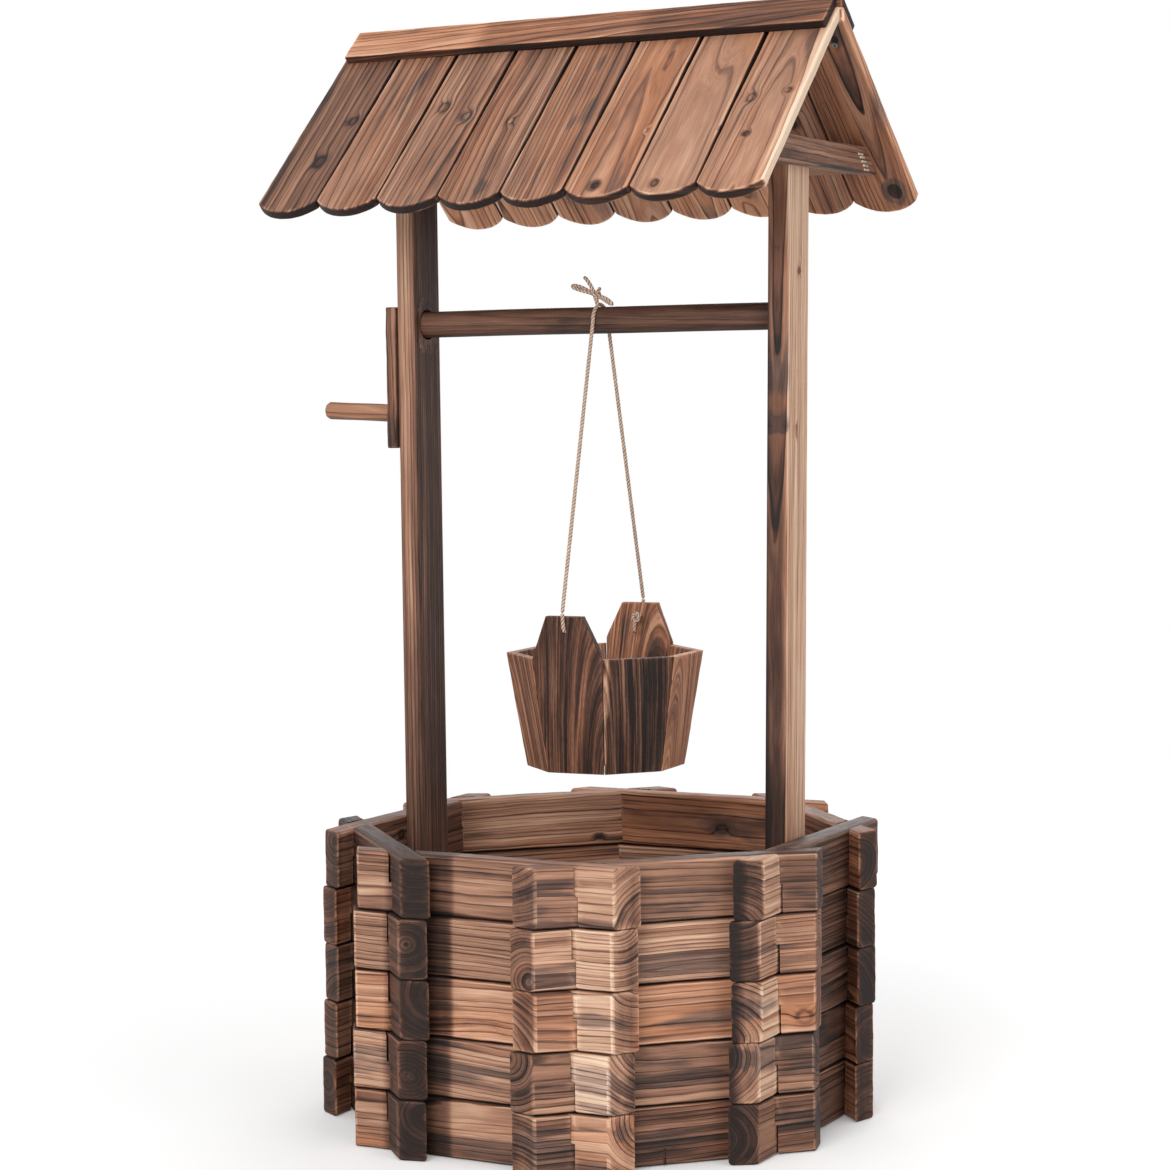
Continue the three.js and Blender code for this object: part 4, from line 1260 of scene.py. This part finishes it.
# Directions on a slope: down it, along the ridge, and out of it
def slopeAxes(side):
    pitch = roof["backPitch"] if side > 0 else roof["pitch"]
    down = np.array([0, side * math.cos(pitch), -math.sin(pitch)])
    out = np.array([0, side * math.sin(pitch), math.cos(pitch)])
    return down, rightward, out


def makeBoards(side, name, draw):
    size = roof
    down, level, out = slopeAxes(side)
    for board in range(size["boards"]):
        look = lookOf(tone=draw.uniform(0.34, 0.5), warm=draw.uniform(0.35, 0.8),
                      char=draw.uniform(-0.06, 0.04), seed=500 + 20 * side + board,
                      pith=(draw.uniform(-0.03, 0.03), draw.uniform(-0.05, -0.02)),
                      lean=(draw.uniform(-0.02, 0.02), draw.choice([-1, 1]) * draw.uniform(0.0, 0.05)),
                      ring=draw.uniform(0.7, 1.05), wobble=0.0003, ends=(0, 0.54), faces=(0, 0, 0.10, 0),
                      lines=0.8, streaks=0.8, rub=0.34)
        if side < 0:
            look.update(boardLooks[board + 1])
            taper = boardTaper[board]
        else:
            # The undersides of the back boards are painted paler, as painted light, save the two by the
            # right gable, which are darker
            look["faces"] = (0, 0, -0.20 if board < 6 else 0.16, 0)
            look["lines"] = look["streaks"] = 0.95
            look["warm"] += 0.25
            look["knots"] = [(draw.uniform(0.06, 0.25), draw.uniform(-0.028, 0.028),
                              draw.uniform(0.003, 0.007), draw.uniform(0.4, 1))
                             for _ in range(draw.integers(0, 3))]
            if board == size["boards"] - 1:
                look.update(lastBackBoard)
            taper = draw.uniform(0.0003, 0.0015)
        middle = boardMiddle(board) + (size["backShift"] if side > 0 else 0)
        origin = ridgeLine + level * middle - out * (size["depthFrom"] + size["thickness"] / 2)
        woodPiece(f"roof_board_{name}_{board + 1}", [boardGrid(taper)], look, "tan_wood", "frame",
                  f"roof_slope_{name}", origin, down, level, out)


def makePurlinAndCap(side, name):
    size = roof
    down, level, out = slopeAxes(side)
    depth = underBoards + size["purlinDepth"] / 2
    grid = stickGrid(2 * size["purlinEnd"], size["purlinWidth"], size["purlinDepth"], step=0.012, wide=6)
    origin = ridgeLine + down * size["purlinRun"] - out * depth - level * size["purlinEnd"]
    woodPiece(f"purlin_{name}", [grid], lookOf(tone=0.5, seed=560 + side), "tan_wood", "frame",
              f"roof_slope_{name}", origin, level, down, out)

    def cutRidge(local):
        bent = local.copy()
        share = local[..., 1] / size["capWidth"] + 0.5
        start = ridgeCut(size["capThickness"] / 2 - local[..., 2])
        bent[..., 1] = start * (1 - share) + size["capWidth"] * share
        return bent

    grid = stickGrid(size["capLength"], size["capWidth"], size["capThickness"], radius=0.0014,
                     endRadius=0.0016, step=0.007, wide=12, shape=cutRidge)
    # The back cap lies further towards the right gable than the front one
    start = size["shift"] - size["capLength"] / 2 + (size["backCapShift"] if side > 0 else 0)
    origin = ridgeLine + level * start - out * size["capThickness"] / 2
    woodPiece(f"cap_board_{name}", [grid], dict(capLook, seed=570 + side), "brown_wood", "frame",
              f"ridge_cap_{name}", origin, level, down, out)


# How high the boards' undersides would meet, in the middle, and half the width under them at a level
def underApex(pitch):
    return roof["ridge"] - (underBoards + roof["seat"]) / math.cos(pitch)


def underHalf(level, pitch):
    return (underApex(pitch) - level) / math.tan(pitch)


def makeBeamAndTies():
    size = roof
    deep = size["beamDepth"]
    pitch = size["pitch"]

    # The ridge beam's top follows both slopes
    def gabled(local):
        bent = local.copy()
        share = local[..., 2] / deep + 0.5
        top = deep / 2 - np.abs(local[..., 1]) * math.tan(pitch)
        bent[..., 2] = -deep / 2 * (1 - share) + top * share
        return bent

    length = size["length"] - 2 * size["beamInset"]
    grid = stickGrid(length, size["beamWidth"], deep, radius=0.001, endRadius=0.001, step=0.02, wide=6,
                     thick=4, shape=gabled)
    woodPiece("ridge_beam_timber", [grid], lookOf(tone=0.6, seed=580), "dark_wood", "frame",
              "ridge_beam", (size["shift"] - length / 2, 0, underApex(pitch) - deep / 2), rightward,
              backward, upward)
    reach = underHalf(size["tieLevel"], pitch)
    centre = size["tieLevel"] + size["tieHeight"] / 2

    # The ties' ends are cut to the slopes
    def cutToSlopes(local):
        bent = local.copy()
        share = local[..., 0] / reach - 1
        level = centre + local[..., 1]
        bent[..., 0] = share * np.where(share < 0, underHalf(level, pitch),
                                        underHalf(level, size["backPitch"]))
        return bent

    for side, name in ((-1, "left"), (1, "right")):
        grid = stickGrid(2 * reach, size["tieHeight"], size["tieThickness"], radius=0.0022, endRadius=0.001,
                         step=0.008, wide=7, thick=5, shape=cutToSlopes)
        middle = side * (posts["outer"] + size["seat"] + size["tieThickness"] / 2)
        woodPiece(f"tie_{name}_timber", [grid], dict(tieLook, seed=590 + side), "dark_wood", "frame",
                  f"collar_tie_{name}", (middle + leanAt(side, size["tieLevel"]), 0, centre), backward,
                  upward, rightward)


def makeRoof():
    draw = np.random.default_rng(21)
    for side, name in slopes:
        makeBoards(side, name, draw)
        makePurlinAndCap(side, name)
    makeBeamAndTies()
    print("roof: 16 boards, 2 purlins, 2 caps, beam, 2 ties")


makeRoof()


# Spindle, crank arm and peg

winder = {
    "radius": 0.014, "skin": 0.0002, "from": -0.2417, "to": 0.2159, "bevel": 0.0012,
    "armInner": -0.2299, "armThickness": 0.0118, "armWidth": 0.044, "armReach": 0.131, "armHead": 0.019,
    "pegReach": 0.0945, "pegRadius": 0.0094, "pegLength": 0.0999, "pegBevel": 0.003, "barSides": 48,
    "pegTilt": math.radians(2.4),    # its free end points up a little
}
# Painted highlight: paler along the middle of each side, front and back, darker towards the top and bottom,
# most of all towards the crank
paintedHighlight = [(place, side * winder["radius"], reach, width, amount)
          for place, reach, amount in ((0.12, 0.13, -0.056), (0.34, 0.10, -0.03))
          for side in (-1, 1) for width in (0.003, 0.006, 0.0085)]
winderLooks = {
    "spindle": lookOf(tone=0.85, warm=0.05, seed=601, pith=(0.03, -0.03), lean=(0.01, -0.008), wobble=0,
                      lines=0.3, streaks=0.45, shades=paintedHighlight),
    "arm": lookOf(tone=0.55, warm=0.25, char=0.05, seed=602, pith=(-0.05, 0.02), lean=(0.02, 0.02),
                  ring=0.6, wobble=0.0006, sides=(0, 0)),
    "peg": lookOf(tone=0.49, warm=0.5, seed=603, pith=(0.03, -0.02), lean=(0.01, 0.02), ring=0.5,
                  wobble=0),
}


# A turned or whittled bar along its own first axis: radius(along, angle) round the middle line, with
# rounded ends that close on the middle
def barGrid(length, radius, bevel, step):
    whole = radius(0.0, 0.0)
    ends = [(0, 0.0, 1, 0), (0, 0.5, 1, 0)]
    ends += [(along, 1 - inset / whole, face, edge) for along, inset, face, edge in arrisRows(bevel, 3)]
    body = np.linspace(bevel * 1.3, length - bevel * 1.3, max(int(length / step), 4))
    along, scale, face, edge = stickRows(ends, body, length, 1)
    angle = np.linspace(0, 2 * np.pi, winder["barSides"], endpoint=False)
    size = radius(along, angle[None]) * scale
    local = np.stack([np.broadcast_to(along, size.shape), size * np.cos(angle), size * np.sin(angle)],
                     axis=-1)
    fields = {"face": np.broadcast_to(np.where(along < length / 2, -face, face), size.shape),
              "edge": np.broadcast_to(edge, size.shape), "side": np.zeros(size.shape)}
    return local, fields, gridFaces(*size.shape)


def makeWinder():
    size = winder

    # Turned, but not quite round
    def turned(along, angle):
        flats = 0.00012 * np.cos(5 * angle + 30 * along) + 0.0001 * np.sin(3 * angle - 18 * along)
        return size["radius"] - size["skin"] + flats

    # Eight flats, softened, that wander as a knife leaves them
    def whittled(along, angle):
        bend = angle % (np.pi / 4) - np.pi / 8
        flat = np.cos(np.pi / 8) / np.cos(bend)
        cuts = 0.012 * np.sin(93 * along + 2.0 * np.floor(angle * 4 / np.pi)) - 0.008
        return size["pegRadius"] * (0.12 + 0.88 * flat + cuts)

    grid = barGrid(size["to"] - size["from"], turned, size["bevel"], 0.006)
    woodPiece("spindle_bar", [grid], winderLooks["spindle"], "brown_wood", "winder", "spindle",
              (size["from"], 0, spindleLevel), rightward, backward, upward)

    grid = stickGrid(size["armReach"] + size["armHead"], size["armWidth"], size["armThickness"],
                     radius=0.0016, endRadius=0.0016, step=0.004)
    origin = (size["armInner"] - size["armThickness"] / 2, 0, spindleLevel - size["armReach"])
    woodPiece("crank_arm_board", [grid], winderLooks["arm"], "brown_wood", "winder", "crank_arm", origin,
              upward, backward, rightward)

    grid = barGrid(size["pegLength"], whittled, size["pegBevel"], 0.004)
    level, up = math.cos(size["pegTilt"]), math.sin(size["pegTilt"])
    woodPiece("peg_whittled", [grid], winderLooks["peg"], "tan_wood", "winder", "crank_peg",
              (size["armInner"], 0, spindleLevel - size["pegReach"]), (-level, 0, up), backward,
              (up, 0, level))
    print("winder: spindle, arm, peg")


makeWinder()


# Screws and staples. The boards are screwed from below, so their tops show none.

fasteners = {
    "screwRadius": 0.0034, "screwDome": 0.0008, "skirt": 0.0012, "drive": 0.0015, "driveWidth": 0.4,
    "stapleLength": 0.0150, "stapleRadius": 0.0012, "purlinEnd": 0.014,
    "steel": "#8d8780", "zinc": "#cfc2ad", "dirt": "#5b4536",
    # up each post: height, and the side of its middle
    "postScrews": ((0.075, 1), (0.135, -1), (0.195, 1), (0.255, -1), (0.976, 1), (0.990, -1)),
    "postSide": 0.012,
    # the screws in the caps: down the slope, and out from the middle of the end boards
    "capScrewRun": 0.050, "capScrewSide": 0.016,
    # five staples hold each end of a tie, one above another along the slanted cut: height, reach
    "staples": ((0.9885, 0.1135), (0.9855, 0.1175), (0.9815, 0.1220), (0.9775, 0.1262), (0.9735, 0.1290)),
}


def makeMetal(name, colour, metallic):
    metal = Finish(name)
    place = metal.node("ShaderNodeTexCoord", {}, {}, "Object")
    dirt = metal.noise(place, 900, 3, 0.6)
    spots = metal.rise(metal.noise(place, 260, 2), 0.5, 0.7)
    tint = metal.mixed(spots * 0.55, linear(colour), linear(fasteners["dirt"]))
    return metal.surface({"Base Color": tint, "Metallic": metallic - spots * metallic * 0.6,
                          "Roughness": 0.34 + dirt * 0.4, "Normal": metal.bump(dirt, 0.0003, 0.3)})


# A screw's head in its own frame: a flat dome, height = dome (1 - (r / R)^2), let in at its edge, with
# a cross drive, where the middle sinks along two arms. Its last two rows are the skirt, in the wood.
def screwHead(centre, out, turn):
    size = fasteners
    first = np.cross(out, (0.3, 0.5, 0.81))
    first /= np.linalg.norm(first)
    angle = np.linspace(0, 2 * np.pi, 16, endpoint=False)
    share = np.array([0.001, 0.22, 0.5, 0.62, 0.9, 1.0, 1.0, 0.001])
    arms = np.abs(np.sin(2 * angle)) < size["driveWidth"]
    sunk = np.where(arms[None], np.array([1, 1, 1, 0, 0, 0, 0, 0])[:, None], 0)
    sunk[:2] = 1
    level = (size["screwDome"] * (1 - share ** 2))[:, None] - sunk * size["drive"] * 0.7
    level[6:] = -2 * size["skirt"]
    radius = (share * size["screwRadius"])[:, None]
    points = (np.array(centre, float) + level[..., None] * out
              + (radius * np.cos(angle + turn))[..., None] * first
              + (radius * np.sin(angle + turn))[..., None] * np.cross(out, first))
    return points, {}, gridFaces(*level.shape)


# A staple's crown: a round wire whose ends dive into the wood, height = radius (0.4 - 2.6 |t|^6)
def stapleCrown(centre, along, out):
    size = fasteners
    t = np.linspace(-1, 1, 9)[:, None]
    angle = np.linspace(0, 2 * np.pi, 8, endpoint=False)[None, :, None]
    line = (np.array(centre, float) + t * size["stapleLength"] / 2 * along
            + size["stapleRadius"] * (0.4 - 2.6 * np.abs(t) ** 6) * out)
    thick = size["stapleRadius"] * np.where(np.abs(t) < 1, 1, 0.005)
    points = line[:, None] + thick[:, None] * (np.cos(angle) * out + np.sin(angle) * np.cross(out, along))
    return points, {}, gridFaces(*points.shape[:2])


def makeFasteners():
    size = fasteners
    draw = np.random.default_rng(33)
    steel = makeMetal("screwSteel", size["steel"], 0.85)
    zinc = makeMetal("stapleZinc", size["zinc"], 0.35)

    def addScrews(name, body, places):
        grids = [screwHead(centre, out, draw.uniform(0, 1.5)) for centre, out in places]
        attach(pieceFrom(name, grids, steel), body)
        print(name, len(grids))

    purlins, caps, feet, staples = [], [], [], []
    purlinEnd = roof["purlinEnd"] - size["purlinEnd"]
    endMiddle = roof["length"] / 2 - boardWidth / 2 + size["capScrewSide"]
    for side in (-1, 1):
        down, level, out = slopeAxes(side)
        under = ridgeLine - out * underBoards
        purlin = under + down * roof["purlinRun"] - out * roof["purlinDepth"]
        purlins += [(purlin + level * np.clip(boardMiddle(board), -purlinEnd, purlinEnd), -out)
                    for board in range(roof["boards"])]
        caps += [(under + down * size["capScrewRun"] + level * (roof["shift"] + end * endMiddle), -out)
                 for end in (-1, 1)]
        inner = side * (posts["outer"] - posts["thickness"])
        feet += [((inner + leanAt(side, height), way * size["postSide"], height), -side * rightward)
                 for height, way in size["postScrews"]]
        face = side * (posts["outer"] + roof["seat"] + roof["tieThickness"])
        face += leanAt(side, roof["tieLevel"])
        staples += [stapleCrown((face, end * reach, height), backward, side * rightward)
                    for end in (-1, 1) for height, reach in size["staples"]]
    addScrews("purlin_screws", "frame", purlins)
    addScrews("post_screws", "frame", feet)
    pegFoot = (winder["armInner"], 0, spindleLevel - winder["pegReach"])
    addScrews("peg_screw", "winder", [(pegFoot, rightward)])
    addScrews("cap_screws", "frame", caps)
    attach(pieceFrom("tie_staples", staples, zinc), "frame")
    print("fasteners: screws and", len(staples), "staples")


makeFasteners()


# Bucket: eight staves with mitred edges, two of them with ears, and a floor of three boards

staveLooks = {
    6: dict(tone=0.79, warm=0.4), 5: dict(tone=0.60, warm=1.0, char=-0.2),
    7: dict(tone=0.80, warm=0.4, shades=[(-0.06, -0.034, 0.08, 0.003, -0.45)]),
    0: dict(tone=0.42, warm=1.0, char=-0.15),
}


# One stave in its own frame: along is up, across is round the bucket, through is out of it. Half its
# width = (distance from the middle) tan(22.5 degrees), and above the rim an ear narrows to its top.
def staveGrid(ear):
    size = bucket
    tall = size["depth"] + (size["earHeight"] if ear else 0)
    share = math.tan(math.pi / 8)

    def mitred(local):
        level = local[..., 0] - size["depth"]
        out = outerAt(level) - staveThickness / 2 + local[..., 2]
        half = out * share - size["mitreGap"]
        if ear:
            rimHalf = size["rimApothem"] * share
            earHalf = rimHalf + (size["earTop"] / 2 - rimHalf) * level / size["earHeight"]
            half = np.where(level > 0, np.minimum(half, earHalf), half)
        bent = local.copy()
        bent[..., 0] = level
        bent[..., 1] = local[..., 1] * half / (size["blank"] / 2)
        bent[..., 2] = out
        return bent

    return stickGrid(tall, size["blank"], staveThickness, radius=0.0011, endRadius=0.0009, step=0.004,
                     wide=18, shape=mitred)


def makeBucket():
    size = bucket
    draw = np.random.default_rng(5)
    for place in range(8):
        turn = bucketTurn + place * math.pi / 4
        look = lookOf(tone=draw.uniform(0.5, 0.7), warm=draw.uniform(0.4, 0.8),
                      char=draw.uniform(-0.05, 0.1), seed=700 + place,
                      pith=(draw.uniform(-0.05, 0.05), 0.06), lean=(0.005, 0.006), ring=0.7,
                      ends=(0.1, -0.05), sides=(0.1, 0.1))
        look.update(staveLooks.get(place, {}))
        woodPiece(f"stave_{place + 1}", [staveGrid(place in (2, 6))], look, "black_wood", "bucket",
                  "bucket_staves", (hangPlace, 0, size["rim"]), upward,
                  (-math.sin(turn), math.cos(turn), 0), (math.cos(turn), math.sin(turn), 0))
    low = size["floorLift"] - size["depth"]
    inner = outerAt(low) - staveThickness - size["floorGap"]
    ahead = np.array([math.cos(bucketTurn), math.sin(bucketTurn), 0])
    aside = np.array([-math.sin(bucketTurn), math.cos(bucketTurn), 0])
    for number in (1, 2, 3):
        middle = (number - 2) * 2 * inner / 3
        grid = stickGrid(2 * inner, 2 * inner / 3 - size["boardGap"], size["floorThickness"], radius=0.001,
                         endRadius=0.001, step=0.008, wide=8, shape=endsOnOctagon(inner, middle))
        origin = aside * middle + (hangPlace, 0, size["rim"] + low + size["floorThickness"] / 2)
        woodPiece(f"bucket_board_{number}", [grid], lookOf(tone=0.6, seed=730 + number), "dark_wood",
                  "bucket", "bucket_floor", origin, ahead, aside, upward)
    print("bucket: 8 staves, 3 floor boards")


makeBucket()
